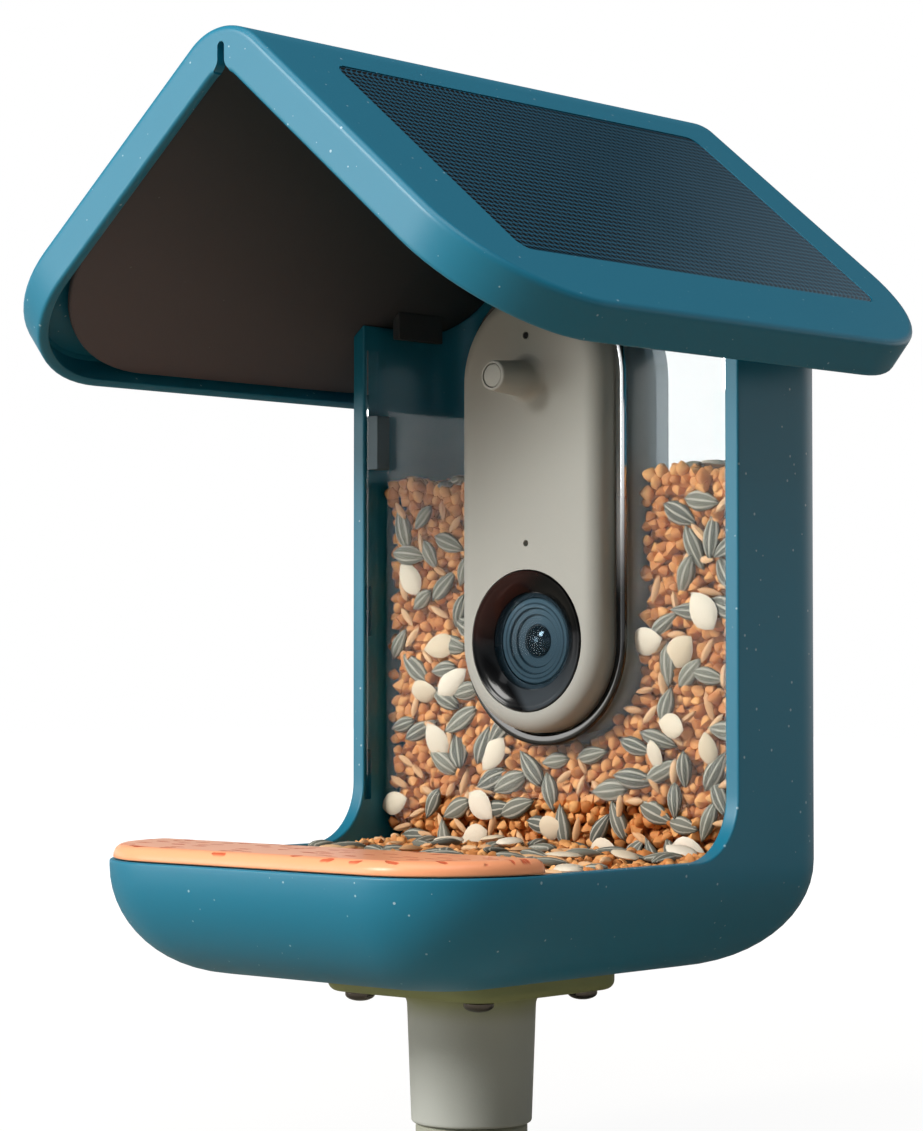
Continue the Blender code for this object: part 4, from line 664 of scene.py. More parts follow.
def makeHousing():
    # Up the outside, over the walls' tops with both their edges rounded, and down the inside
    h = housing
    outer, inner = filletRows(0, h["floorLow"]), filletRows(h["wall"], h["floorTop"])
    outTop, ways = wallTops(0)
    inTop, _ = wallTops(h["wall"])
    lift = h["edgeRound"] + h["support"]
    rows = outer + [outer[-1] + (outTop - lift * ways - outer[-1]) * share
                    for share in (0.15, 0.35, 0.55, 0.75, 0.9, 1.0)]
    edge = [(h["edgeRound"] * across, h["edgeRound"] * down) for down, across in quarter(5)]
    edge += [(lift, 0), (h["wall"] - lift, 0)] + [(h["wall"] - across, down) for across, down in edge[::-1]]
    rows += [outTop + (inTop - outTop) * across / h["wall"] - down * ways for across, down in edge]
    rows += [inner[-1] + (inTop - lift * ways - inner[-1]) * share for share in (1.0, 0.9, 0.7, 0.45, 0.2)]
    body = shell(rows + inner[::-1])

    # Rebate for the hatch, and the opening inside it
    hatch = dict(half=0.053, low=0.098, high=0.226, corner=0.009, lip=0.004, seat=0.0025, inside=0.0645)
    rearFace = h["back"]
    for grow, near, far in ((0, rearFace - hatch["seat"], rearFace + 0.002),
                            (hatch["lip"], hatch["inside"], rearFace)):
        outline = roundedBox((grow - hatch["half"], hatch["low"] + grow),
                             (hatch["half"] - grow, hatch["high"] - grow), hatch["corner"] - grow)
        carve(body, prism(outline, near, far, upright))

    # Hinge knuckles on webs, with the pins' bores, and the slots that the window's hooks snap into
    hinge = dict(across=0.036, apart=0.0063, y=0.0739, z=0.098, half=0.003, radius=0.0028, eased=0.0024,
                 bore=0.00128, boreHalf=0.012, webFront=0.0686, webLow=0.0952, webHigh=0.0968)
    half, eased, radius = hinge["half"], hinge["eased"], hinge["radius"]
    ease = radius - eased
    knuckle = [(0, -half), (eased, -half), (radius, ease - half), (radius, half - ease), (eased, half), (0, half)]
    snap = dict(front=0.0267, back=0.0296, tall=0.0145, ends=(0.0627, 0.0662), rises=(0.0930, 0.1400))
    for side in (-1, 1):
        for outward in (-1, 1):
            middle = side * hinge["across"] + outward * hinge["apart"]
            web = roundedBox((hinge["webFront"], hinge["webLow"]), (hinge["y"], hinge["webHigh"]), 0.0002, 2)
            carve(body, prism(web, middle - half, middle + half, crossing), "UNION")
            carve(body, turned(knuckle, (middle, hinge["y"], hinge["z"]), "side", 40), "UNION")
        drill(body, hinge["bore"], (-hinge["boreHalf"], hinge["boreHalf"]),
              (side * hinge["across"], hinge["y"], hinge["z"]), "side")
        for rise in snap["rises"]:
            slot = roundedBox((snap["front"], rise), (snap["back"], rise + snap["tall"]), 0.0005, 3)
            carve(body, prism(slot, *sorted(side * end for end in snap["ends"]), crossing))

    # Drains and screw holes through the floor
    for place in range(5):
        drill(body, 0.0015, (-0.002, 0.007), (0.012 * (place - 2), -0.040, h["floorLow"]), "up")
    for x, y in screwPlaces:
        drill(body, 0.0023, (-0.002, 0.0045), (x, y, h["floorLow"]), "up")
    settle(body, "body_moulding", "housing_shell", "blue", "body")


screwPlaces = [(-0.021, -0.021), (0.021, -0.021), (0.021, 0.021), (-0.021, 0.021)]
makeHousing()
print("body moulding made")


# Perch

def makePerch():
    # Cap: its outline drawn in along a quarter round at the top, then stepped in to a plug below
    p = dict(half=0.068, front=-0.0834, back=-0.048, corner=0.030, rear=0.0034, low=0.0815, thick=0.0037,
             roundOver=0.0030, under=0.0004)
    plug = dict(half=0.0644, front=-0.0798, back=-0.0495, corner=0.0264, rear=0.0004)
    top, low = p["low"] + p["thick"], p["low"]

    def ring(size, inset, level, back, rear):
        outline = roundedBox((inset - size["half"], size["front"] + inset), (size["half"] - inset, back),
                             (size["corner"] - inset,) * 2 + (rear,) * 2, 22)
        return lying(outline, level)

    def capRing(inset, level):
        return ring(p, inset, level, p["back"] - inset, max(p["rear"] - inset, 0.0003))

    rows = [capRing(p["roundOver"] + 0.0006, top)]
    rows += [capRing(p["roundOver"] * inward, top - p["roundOver"] * down) for inward, down in quarter(9)]
    rows += [capRing(p["under"] * inward, low + p["under"] * up) for up, inward in quarter(5)]
    rows.append(capRing(0.0016, low))
    rows += [ring(plug, inset, level, plug["back"], plug["rear"])
             for inset, level in ((0, low), (0, 0.0797), (0.0006, 0.0744), (0.0012, 0.0742))]
    settle(shell(rows), "perch", "perch_insert", "orange", "body")


makePerch()


# Window pane, collar and pocket

def capsuleRing(radius):
    # Upright outline of the camera module: two half circles and two straight sides
    rise = np.linspace(camera["lens"], camera["peg"], 10)[1:-1]
    side = np.stack([0 * rise + radius, rise], -1)
    return np.concatenate([arcPairs(0, camera["lens"], radius, 180, 360, 44), side,
                           arcPairs(0, camera["peg"], radius, 0, 180, 44), side[::-1] * (-1, 1)])


def capsuleSweep(profile, loop=False):
    # A profile of (radius, depth) pairs carried round the module's outline
    return shell([upright(capsuleRing(radius), depth) for radius, depth in profile], False, False, loop)


def makeWindow():
    # Pane: a path bent back at both sides, between the body's rounded floor and the roof's line
    w = dict(half=0.0644, face=0.0314, thick=0.001, corner=0.0024, returned=0.0614, fillet=0.0234, foot=0.0569,
             pocket=0.0287, inside=0.0258)

    def path(inset):
        bend = arcPairs(w["corner"] - w["half"], w["face"] + w["corner"], w["corner"] - inset, 180, 270, 6)
        straight = np.linspace(w["corner"] - w["half"], w["half"] - w["corner"], 62)[1:-1]
        front = np.stack([straight, 0 * straight + w["face"] + inset], -1)
        back = [[inset - w["half"], w["returned"]]]
        return np.concatenate([back, bend, front, bend[::-1] * (-1, 1), [[w["half"] - inset, w["returned"]]]])

    outer, inner = path(0), path(w["thick"])
    away = np.clip((w["half"] - np.abs(outer[:, 0])) / w["fillet"], 0, 1)
    low = w["foot"] + w["fillet"] * (1 - np.sqrt(1 - (1 - away) ** 2))
    outTop, inTop = [roofLine(line[:, 0], housing["topDepth"]) for line in (outer, inner)]
    pane = shell(np.stack([np.column_stack([line, level]) for line, level in
                           ((outer, low), (outer, outTop), (inner, inTop), (inner, low))], 1))
    arch = roundedBox((-0.050, 0.050), (0.050, 0.0946), (0.0004, 0.0004, 0.010, 0.010), 8)
    carve(pane, prism(arch, 0.029, 0.0355, upright))
    carve(pane, prism(capsuleRing(w["pocket"]), 0.029, 0.0352, upright))
    settle(pane, "window_pane", "hopper_window", "clear", "body", 0.0003)

    # Collar: a pocket with a rounded rear corner, and the charging port in its rear wall
    out, inside = w["pocket"], w["inside"]
    collar = capsuleSweep([(0, 0.0500), (0.0273, 0.0500), (0.0283, 0.0496), (out, 0.0486), (out, 0.0309),
                           (inside, 0.0309), (inside, 0.0472), (0.0255, 0.0478), (0.0247, 0.0480), (0, 0.0480)])
    port = roundedBox((-0.0056, 0.1209), (0.0056, 0.1277), 0.001, 4)
    carve(collar, prism(port, 0.046, 0.052, upright))
    settle(collar, "window_collar", "hopper_window", "collar", "body")

    # Tabs and thin lips at the pane's sides
    for side, end, finish in ((-1, "left", "frosted"), (1, "right", "clear")):
        tab = roundedBox((0.0603, 0.1880), (w["half"], 0.2035), 0.0005, 4) * (side, 1)
        settle(prism(tab, 0.0274, 0.0326, upright), "window_tab_" + end, "hopper_window", finish, "body",
               0.0002)
        lip = roundedBox((0.0637, 0.1000), (w["half"], 0.2225), 0.0002, 2) * (side, 1)
        settle(prism(lip, 0.0272, 0.0316, upright), "window_lip_" + end, "hopper_window", "lip", "body")


def makeBezelRing():
    # Flat glossy ring on the collar's end, with rounded rims
    b = dict(outer=0.0287, inner=0.0258, back=0.0306, front=0.0294, curve=0.0005)
    front, curve, rims = b["front"], b["curve"], quarter(5)
    profile = [(b["outer"], b["back"]), (b["outer"], front + curve)]
    profile += [(b["outer"] - curve * inward, front + curve * left) for left, inward in rims[1:]]
    profile += [(b["inner"] + curve * left, front + curve * back) for left, back in rims]
    settle(capsuleSweep(profile + [(b["inner"], b["back"])], loop=True), "pocket_ring", "pocket_bezel", "ringReflection",
           "body")


makeWindow()
makeBezelRing()
print("perch and window made")


# Roof, liner and panels

def foldedSlab(halfRun, halfDepth, corner, profile, cornerSteps=18):
    # A rounded rectangle in (run, y), closed by strips at constant run, and folded over the ridge.
    # Profile of (inset, depth) pairs from the middle of the top round the edge to the middle underneath.
    turn = np.linspace(0, np.pi / 2, cornerSteps + 1)
    slopeRuns = np.linspace(ridgeArc, halfRun - corner, 8)[1:-1]
    middle = np.concatenate([-slopeRuns[::-1], np.linspace(-ridgeArc, ridgeArc, 29), slopeRuns])
    rows = []
    for inset, depth in profile:
        radius = corner - inset
        out = halfRun - corner + radius * np.sin(turn)
        wide = halfDepth - corner + radius * np.cos(turn)
        run = np.concatenate([-out[::-1], middle, out])
        half = np.concatenate([wide[::-1], np.full(len(middle), halfDepth - inset), wide])
        run = np.concatenate([run, run[::-1]])
        y = np.concatenate([-half, half])
        x, z = roofPoint(run, depth)
        rows.append(np.stack([x, y, z], -1))
    grid = np.array(rows)
    count, columns = grid.shape[:2]
    faces = gridFaces(count, columns).tolist()
    place = np.arange(columns // 2 - 1)
    strip = np.stack([place, place + 1, columns - 2 - place, columns - 1 - place], -1)
    faces += strip[:, ::-1].tolist() + (strip + (count - 1) * columns).tolist()
    return meshObject(grid, faces)


def onSlope(side, outline, out):
    # An outline in (run, y) stood off the slope's surface by a distance
    x, z = roofPoint(side * outline[:, 0], -out)
    return np.stack([x, outline[:, 1], z], -1)


panel = dict(start=0.0195, run=0.0802, length=0.147, corner=0.004, shift=0.0029, thick=0.0010, sink=0.0002,
             pitch=0.002, dome=0.00022)


def makeRoof():
    # Rounded outer edge, a small round under the rim, then the rim's inner side up to the skin
    r, p = roof, panel
    curve, under, thick, wall = r["edgeRound"], 0.0010, r["thickness"], r["rimWall"]
    profile = [(curve + 0.0007, 0)] + [(curve * inward, curve * down) for inward, down in quarter(7)]
    profile += [(0, curve + 0.0005), (0, thick - under - 0.0005)]
    profile += [(under * inward, thick - under * up) for up, inward in quarter(5)]
    profile += [(under + 0.0003, thick), (wall - 0.0006, thick), (wall - 0.0002, thick - 0.0002),
                (wall, thick - 0.0006), (wall, r["skin"] + 0.001), (wall + 0.001, r["skin"])]
    slab = foldedSlab(eaveRun, r["halfDepth"], r["corner"], profile)

    # A recess for each panel, a gap wider than it
    gap = 0.0003
    outline = roundedBox((p["start"] - gap, p["shift"] - p["length"] / 2 - gap),
                         (p["start"] + p["run"] + gap, p["shift"] + p["length"] / 2 + gap), p["corner"] + gap, 8)
    for side in (-1, 1):
        carve(slab, shell([onSlope(side, outline, out) for out in (-p["thick"] - p["sink"] - gap, 0.002)]))

    # Hanging slot through the front rim: a flared foot, then straight sides to a round top
    rimBottom = ridgeCentre + r["ridgeRadius"] - thick
    climb = np.linspace(0, 1, 7)
    spread = r["slotHalf"] + (r["slotFoot"] - r["slotHalf"]) * (1 - climb) ** 2
    foot = np.stack([spread, rimBottom + r["slotFootHeight"] * climb], -1)
    top = arcPairs(0, rimBottom + r["slotHeight"] - r["slotHalf"], r["slotHalf"], 0, 180, 12)
    sill = np.array([[-r["slotFoot"], rimBottom - 0.002], [r["slotFoot"], rimBottom - 0.002]])
    carve(slab, prism(np.concatenate([sill, foot, top, foot[::-1] * (-1, 1)]), -0.0955, -0.0895, upright))
    settle(slab, "roof_slab", "roof_shell", "blue", "roof")


def makeLiner():
    r = roof
    inset = r["rimWall"] + r["linerGap"]
    low, high, curve = r["linerDepth"], r["linerDepth"] + r["linerThickness"], 0.0004
    profile = [(curve * 2, low), (curve, low), (0, low + curve), (0, high - curve), (curve, high), (curve * 2, high)]
    liner = foldedSlab(eaveRun - inset, r["halfDepth"] - inset, r["linerCorner"], profile, 20)
    settle(liner, "roof_lining", "roof_liner", "darkBlue", "roof")


def makePanel(side, end):
    # Laminate: a lattice of domes, each as high as the product of two squared sines, with a skirt and a flat back.
    # Near its ends the rows shorten along the corners' circles.
    p = panel
    runCells, sideCells = round(p["run"] / p["pitch"]), round(p["length"] / p["pitch"])
    u, v = np.meshgrid(np.linspace(0, 1, 4 * runCells + 1), np.linspace(-1, 1, 4 * sideCells + 1), indexing="ij")
    toEdge = np.minimum(np.minimum(u, 1 - u) * p["run"], p["corner"])
    half = p["length"] / 2 - p["corner"] + np.sqrt(p["corner"] ** 2 - (p["corner"] - toEdge) ** 2)
    dome = np.sin(np.pi * runCells * u) ** 2 * np.sin(np.pi * sideCells * (v + 1) / 2) ** 2
    run, y = p["start"] + p["run"] * u, p["shift"] + half * v
    x, z = roofPoint(side * run, p["sink"] - p["dome"] * dome)
    rows, columns = u.shape
    number = np.arange(rows * columns).reshape(rows, columns)
    faces = np.stack([number[:-1, :-1], number[1:, :-1], number[1:, 1:], number[:-1, 1:]], -1).reshape(-1, 4).tolist()
    border = np.concatenate([number[:-1, 0], number[-1, :-1], number[:0:-1, -1], number[0, :0:-1]])
    lowX, lowZ = roofPoint(side * run.ravel()[border], p["sink"] + p["thick"])
    points = np.concatenate([np.stack([x, y, z], -1).reshape(-1, 3), np.stack([lowX, y.ravel()[border], lowZ], -1)])
    below = rows * columns + np.arange(len(border))
    faces += np.stack([border, below, np.roll(below, -1), np.roll(border, -1)], -1).tolist() + [below.tolist()]
    piece = meshObject(points, faces, weld=False)
    label(piece.data, "dome", np.concatenate([dome.ravel(), 0 * border]))
    settle(piece, "panel_" + end, "solar_panel_" + end, "solar", "roof", 0, 50)


makeRoof()
makeLiner()
makePanel(-1, "left")
makePanel(1, "right")
print("roof made")


# Bracket, screws and adapter

def squareReach(angle, half, corner):
    # Distance from the middle of a rounded square to its edge, by angle: its sides, or the corner's circle
    c, s = np.abs(np.cos(angle)), np.abs(np.sin(angle))
    straight = half / np.maximum(c, s)
    middle = half - corner
    dot = (c + s) * middle
    curved = dot + np.sqrt(np.maximum(dot ** 2 - 2 * middle ** 2 + corner ** 2, 0))
    return np.where(np.minimum(c, s) * straight > middle, curved, straight)


def makeBracket():
    # Rings up the tapered sleeve, out along its flare, then changing to the flange's rounded square
    b = dict(half=0.030, corner=0.010, edge=0.0025, low=0.0453, high=0.0513, topRadius=0.0172, footRadius=0.0161,
             foot=0.0103, footRound=0.0009, flare=0.004, bore=0.0138, boreTop=0.0423)
    low, foot, footRadius, flare = b["low"], b["foot"], b["footRadius"], b["flare"]
    angle = np.linspace(0, 2 * np.pi, 160, endpoint=False)

    def ring(reach, level):
        return np.stack([reach * np.cos(angle), reach * np.sin(angle), 0 * angle + level], -1)

    def square(inset, level):
        return ring(squareReach(angle, b["half"] - inset, b["corner"] - inset), level)

    rows = [ring(0, b["boreTop"]), ring(b["bore"], b["boreTop"]), ring(b["bore"], foot + 0.0004),
            ring(b["bore"] + 0.0004, foot)]
    rows += [ring(footRadius - b["footRound"] * inward, foot + b["footRound"] * up) for inward, up in quarter(5)]
    start, end = foot + 0.0012, low - flare
    rows += [ring(footRadius + (b["topRadius"] - footRadius) * share, start + (end - start) * share)
             for share in (0, 0.5, 0.97)]
    rows += [ring(b["topRadius"] + flare * outward, end + flare * (1 - left)) for left, outward in quarter(9)]
    rows += [ring(0.0216, low), square(b["edge"] + 0.0005, low)]
    rows += [square(b["edge"] * inward, low + b["edge"] * up) for inward, up in quarter(8)]
    rows += [square(0, b["high"] - 0.0003), square(0.0003, b["high"]), square(0.002, b["high"])]
    bracket = shell(rows, False, True)
    for x, y in screwPlaces:
        drill(bracket, 0.0023, (-0.001, 0.008), (x, y, low), "up")
    settle(bracket, "bracket", "mount_bracket", "bracket", "body")


def makeScrew(name, x, y):
    # Dome head down with a six-sided recess, and a shank up into its boss
    s = dict(under=0.0450, head=0.0040, rim=0.0008, dome=0.0018, shank=0.0020, length=0.016, key=0.00145)
    under, head, shank = s["under"], s["head"], s["shank"]
    face, tip = under - s["rim"], under + s["length"]
    profile = [(0, tip), (shank - 0.0004, tip), (shank, tip - 0.0008), (shank, under), (head - 0.0002, under),
               (head, under - 0.0002)]
    profile += [(head * (1 - far), face - s["dome"] * (1 - left)) for left, far in quarter(10)]
    screw = turned(profile, (x, y, 0), "up", 48)
    six = np.radians(np.arange(6) * 60 + 12)
    key = np.stack([x + s["key"] * np.cos(six), y + s["key"] * np.sin(six)], -1)
    carve(screw, prism(key, face - s["dome"] - 0.001, face - s["dome"] + 0.0012, lying))
    settle(screw, name + "_fine", name, "steel", "body", 0.00012, 30)


def makeAdapter():
    a = dict(inner=0.0115, collar=0.0135, foot=0.0149, footTop=0.0100, top=0.0420, edge=0.0006)
    inner, collar, foot, footTop, edge = a["inner"], a["collar"], a["foot"], a["footTop"], a["edge"]
    profile = [(inner, a["top"]), (collar - edge, a["top"]), (collar, a["top"] - edge), (collar, footTop),
               (foot - edge, footTop), (foot, footTop - edge), (foot, edge), (foot - edge, 0), (inner + edge, 0),
               (inner, edge)]
    settle(turned(profile, (0, 0, 0), "up", 96, True), "adapter", "pole_adapter", "adapter", "body")


makeBracket()
for number, (x, y) in enumerate(screwPlaces, start=1):
    makeScrew("bracket_screw_%d" % number, x, y)
makeAdapter()
print("bracket made")


# Camera module

def makeModuleCover():
    # Cover: flat face, a quarter-round crown, straight side, and the same form inside
    c = camera
    face, side, crown, wall = c["face"], c["radius"], c["crown"], c["wall"]
    inner = crown - wall
    profile = [(0, face), (side - crown - 0.0008, face)]
    profile += [(side - crown * inward, face + crown * back) for inward, back in quarter(13)]
    profile += [(side, c["rear"] - 0.0004), (side - 0.0003, c["rear"]), (side - wall, c["rear"]),
                (side - wall, face + crown)]
    profile += [(side - wall - inner * inward, face + wall + inner * back) for inward, back in quarter(7)[::-1]]
    cover = capsuleSweep(profile + [(0, face + wall)])

    # Peg with a rounded tip and a flared foot, bored in two steps for the button
    tipRound, foot = 0.0006, c["base"] + c["flare"]
    peg = [(0, c["pegReach"])]
    peg += [(c["tip"] - tipRound * inward, c["pegReach"] - tipRound * down) for inward, down in quarter(6)]
    peg += [(c["base"] + c["flare"] * outward, c["flare"] * up) for up, outward in quarter(9, 84)]
    peg += [(foot, -0.0002), (foot, -0.001), (0, -0.001)]
    carve(cover, turned(peg, (0, face, c["peg"]), "front", 90), "UNION")
    bore = [(0, 0.016), (0.00335, 0.016), (0.00335, 0.0114), (0.00185, 0.0114), (0.00185, -0.004), (0, -0.004)]
    carve(cover, turned(bore, (0, face, c["peg"]), "front", 64))

    # Openings for the lens, the microphone and the light pipe
    for rise, radius, steps in ((c["lens"], c["bezel"] + 0.0003, 128), (c["peg"] + 0.012, 0.0010, 32),
                                (c["lens"] + 0.0267, 0.0009, 32)):
        drill(cover, radius, (0.002, -0.0045), (0, face, rise), "front", steps)
    settle(cover, "module_cover", "module_front_cover", "module", "camera_module", 0, 28)


def makeLensParts():
    # Turned pieces on the lens axis and the peg's; their heights run out from the cover's face
    c = camera
    backs = dict(dish=-0.0062, barrel=-0.0140, lens=-0.0063)
    level, floor, fall, reachLens = -0.0038, -0.0066, 0.0007, 0.0042

    def part(profile, steps, name, node, finish, sharp=40, loop=False, body="camera_module", rise="lens"):
        settle(turned(profile, (0, c["face"], c[rise]), "front", steps, loop), name, node, finish, body,
               0, sharp)

    def bulge(radius, count, rim):
        # A domed front: 1.2 mm above its rim, less by the square of the reach
        reach = np.linspace(0, radius, count)
        return reach, rim + 0.0012 * (1 - (reach / radius) ** 2)

    # Dish: a lip at the face, then a fall that eases towards the glass
    seat, bezel = c["glass"] + 0.0003, c["bezel"]
    share = np.linspace(0, 1, 18)
    dish = list(zip(seat + (bezel - 0.0009 - seat) * share, -c["dish"] * (1 - share) ** 1.5))
    lip = [(bezel - 0.0006, 0.00022), (bezel - 0.0003, 0.00030), (bezel - 0.0001, 0.00020), (bezel, 0)]
    back = [(bezel, backs["dish"]), (0.0120, backs["dish"]), (0.0120, level), (seat, level)]
    part(dish + lip + back, 128, "lens_dish", "lens_bezel", "black", loop=True)

    reach, height = bulge(c["glass"], 12, -c["dish"])
    profile = list(zip(reach, height)) + list(zip(reach[::-1], height[::-1] - 0.0012))
    part(profile, 96, "lens_window", "lens_cover", "glass")

    # Barrel: rounded steps falling towards the axis
    profile = [(0, floor)]
    for step, radius in enumerate((0.0045, 0.0072, 0.0090)):
        below = floor if step == 0 else level - fall * (3 - step)
        above = level - fall * (2 - step)
        profile += [(radius, below), (radius, above - 0.0002), (radius + 0.0002, above)]
    profile += [(0.0114, level), (0.0117, level - 0.0003), (0.0117, backs["barrel"]), (0, backs["barrel"])]
    part(profile, 96, "barrel", "lens_barrel", "barrel", 30)

    profile = list(zip(*bulge(reachLens, 8, -0.0056))) + [(reachLens, backs["lens"]), (0, backs["lens"])]
    part(profile, 64, "lens_front", "front_lens", "deepGlass")

    # Button: a round cap in the peg's end, on a stem that reaches the switch
    profile = [(0, 0.01395), (0.0026, 0.01395), (0.0029, 0.0139), (0.0031, 0.0137), (0.0031, 0.0125),
               (0.0016, 0.0125), (0.0016, -0.0023), (0, -0.0023)]
    part(profile, 64, "button", "power_button", "module", 30, body="button", rise="peg")


makeModuleCover()
makeLensParts()
print("camera module made")


# Plainer pieces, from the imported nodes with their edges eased

plainPieces = [
    ("hatch", "hatch", "clear_plastic", dict(rear_hatch=0.0003)),
    ("pin", "body", "pin_steel", dict(hatch_pin_left=0.0002, hatch_pin_right=0.0002)),
    ("darkBlue", "body", "dark_blue_plastic", dict(feed_ramp=0.0002)),
    ("board", "roof", "circuit_board", dict(solar_charge_board=0.0001)),
    ("darkBlue", "roof", "dark_blue_plastic", dict(roof_rail_left=0.0003, roof_rail_right=0.0003)),
    ("rubber", "camera_module", "gasket_rubber", dict(module_gasket=0.0001)),
    ("module", "camera_module", "module_plastic", dict(module_rear_cover=0.0002)),
    ("part", "camera_module", "part_black", dict(microphone=0.0002, light_pipe=0.0001, button_switch=0.0002)),
    ("socket", "camera_module", "socket_steel", dict(charge_socket=0.0001)),
    ("board", "camera_module", "circuit_board", dict(sensor_board=0.0001, main_board=0.0001)),
    ("foil", "camera_module", "battery_foil", dict(battery=0.0008)),
]
for finish, body, slotName, bevels in plainPieces:
    for node, bevel in bevels.items():
        refined(node, finish, body, bevel)
print("plain pieces made:", sum(len(bevels) for *_, bevels in plainPieces))


# Seed

def huskForm(rings, columns, sizes, power, lean, edges=0.0):
    # A small closed form along x: rings that shrink by a power of the reach, leant towards one end.
    # Their outline is round, or has three soft edges, as buckwheat has.
    reach, width, height = sizes
    along = np.linspace(-1, 1, rings + 2)[1:-1]
    angle = np.linspace(0, 2 * np.pi, columns, endpoint=False)
    size = ((1 - np.abs(along) ** power) * (1 + lean * along))[:, None]
    shape = (1 + edges * np.cos(3 * angle))[None, :]
    x = np.repeat(along[:, None] * reach, columns, 1)
    points = np.stack([x, width * size * shape * np.cos(angle), height * size * shape * np.sin(angle)], -1)
    points = np.concatenate([points.reshape(-1, 3), [[-reach, 0, 0], [reach, 0, 0]]])
    across = np.concatenate([np.tile(np.cos(angle), rings), [0, 0]])
    first = np.arange(columns)
    after = (first + 1) % columns
    start, end, last = rings * columns, rings * columns + 1, (rings - 1) * columns
    tips = np.concatenate([np.stack([0 * first + start, after, first], -1),
                           np.stack([0 * first + end, last + first, last + after], -1)])
    return dict(points=points, quads=gridFaces(rings, columns), tips=tips, across=across,
                along=np.abs(points[:, 0]) / reach)


# Rings, columns, half sizes, power and lean of each kind
kinds = dict(
    grain=huskForm(4, 7, (0.00196, 0.00180, 0.00185), 1.9, -0.30, 0.20),
    sunflower=huskForm(6, 12, (0.0060, 0.0027, 0.0015), 2.0, -0.25),
    pumpkin=huskForm(6, 10, (0.0056, 0.0036, 0.0010), 2.4, -0.18),
    oat=huskForm(4, 6, (0.0037, 0.0011, 0.0010), 2.6, -0.10),
)
kindNames = list(kinds)


def turnsAbout(axis, angle):
    # Rotation matrices about unit axes by angles, by Rodrigues' formula
    x, y, z = axis.T
    zero = np.zeros(len(x))
    cross = np.stack([zero, -z, y, z, zero, -x, -y, x, zero], -1).reshape(-1, 3, 3)
    s, c = np.sin(angle)[:, None, None], np.cos(angle)[:, None, None]
    return np.eye(3) + s * cross + (1 - c) * (cross @ cross)


def randomTurns(count, flat):
    # Tumbled any way, or lying flat with a random bearing and a small tilt
    axis = chance.normal(size=(count, 3))
    axis /= np.linalg.norm(axis, axis=1, keepdims=True)
    tumble = turnsAbout(axis, chance.uniform(0, 2 * np.pi, count))
    if not flat:
        return tumble
    bearing = turnsAbout(np.tile([0.0, 0.0, 1.0], (count, 1)), chance.uniform(0, 2 * np.pi, count))
    tilt = axis * (1, 1, 0)
    tilt /= np.linalg.norm(tilt, axis=1, keepdims=True)
    return turnsAbout(tilt, chance.normal(0, flat, count)) @ bearing


def evenSpots(uRange, vRange, pitch):
    # A jittered honeycomb of spots
    u = np.arange(uRange[0], uRange[1], pitch)
    v = np.arange(vRange[0], vRange[1], pitch * 0.87)
    grid = np.stack(np.meshgrid(u, v), -1)
    grid[1::2, :, 0] += pitch / 2
    spots = grid.reshape(-1, 2)
    return spots + chance.uniform(-0.30, 0.30, spots.shape) * pitch


def sparseSpots(count, uRange, vRange, apart):
    # Spots thrown one by one, each kept only where it is far enough from the others
    spots = np.empty((0, 2))
    for throw in chance.uniform((uRange[0], vRange[0]), (uRange[1], vRange[1]), (count * 8, 2)):
        if len(spots) == 0 or np.min(np.linalg.norm(spots - throw, axis=1)) > apart:
            spots = np.vstack([spots, throw])
        if len(spots) == count:
            break
    return spots


def seedBatch(kind, spots, flat, basis, size):
    # Many seeds of a kind: each is turned, scaled and set on a spot of a plane given by its basis
    form = kinds[kind]
    count = len(spots)
    turns = randomTurns(count, flat)
    scale = (1 + chance.uniform(-size, size, (count, 1))) * (1 + chance.uniform(-0.10, 0.10, (count, 3)))
    local = np.einsum("nij,npj->npi", turns, form["points"][None] * scale[:, None])
    world = local @ basis + spots[:, None]
    return dict(kind=kind, points=world, tone=np.repeat(chance.uniform(0, 1, count), len(form["points"])),
                across=np.tile(form["across"], count), along=np.tile(form["along"], count))


def seedPiece(name, batches, node):
    # All batches in one mesh, with a finish for each kind
    points, faces, numbers, start = [], [], [], 0
    for batch in batches:
        count, size = batch["points"].shape[:2]
        shift = start + np.arange(count)[:, None, None] * size
        for corners in (kinds[batch["kind"]]["quads"], kinds[batch["kind"]]["tips"]):
            faces += (corners[None] + shift).reshape(-1, corners.shape[1]).tolist()
            numbers += [kindNames.index(batch["kind"])] * (count * len(corners))
        points.append(batch["points"].reshape(-1, 3))
        start += count * size
    piece = meshObject(np.concatenate(points), faces, name, outward=False)
    mesh = piece.data
    for kind in kindNames:
        mesh.materials.append(finishes[kind])
    mesh.polygons.foreach_set("material_index", numbers)
    for key in ("tone", "across", "along"):
        label(mesh, key, np.concatenate([batch[key] for batch in batches]))
    carried(piece, node, "body", 58)
    print(name, "faces:", len(mesh.polygons))


def nearAny(spots, others, apart):
    if len(others) == 0:
        return np.zeros(len(spots), bool)
    return np.min(np.linalg.norm(spots[:, None] - others[None], axis=2), axis=1) < apart


def offCapsule(spots, radius):
    # True where a spot in x and z is outside the module's outline grown to a radius
    rise = np.clip(spots[:, 1], camera["lens"], camera["peg"])
    return np.hypot(spots[:, 0], spots[:, 1] - rise) > radius


# Big seeds by kind: how far apart they lie, and how much further they stand out
bigSeeds = dict(sunflower=(0.0064, 0.0), pumpkin=(0.0095, 0.0010), oat=(0.0050, 0.0))
# Margins at the edges, distances between seeds, how deep they sit, and how much they vary in size
room = dict(big=0.0056, small=0.0010, bigToBig=0.0036, smallToBig=0.0023, pitch=0.0034, proud=(-0.0016, -0.0006),
            sunk=(0, 0.0012), tilt=0.18, bigSpread=0.12, smallSpread=0.16)


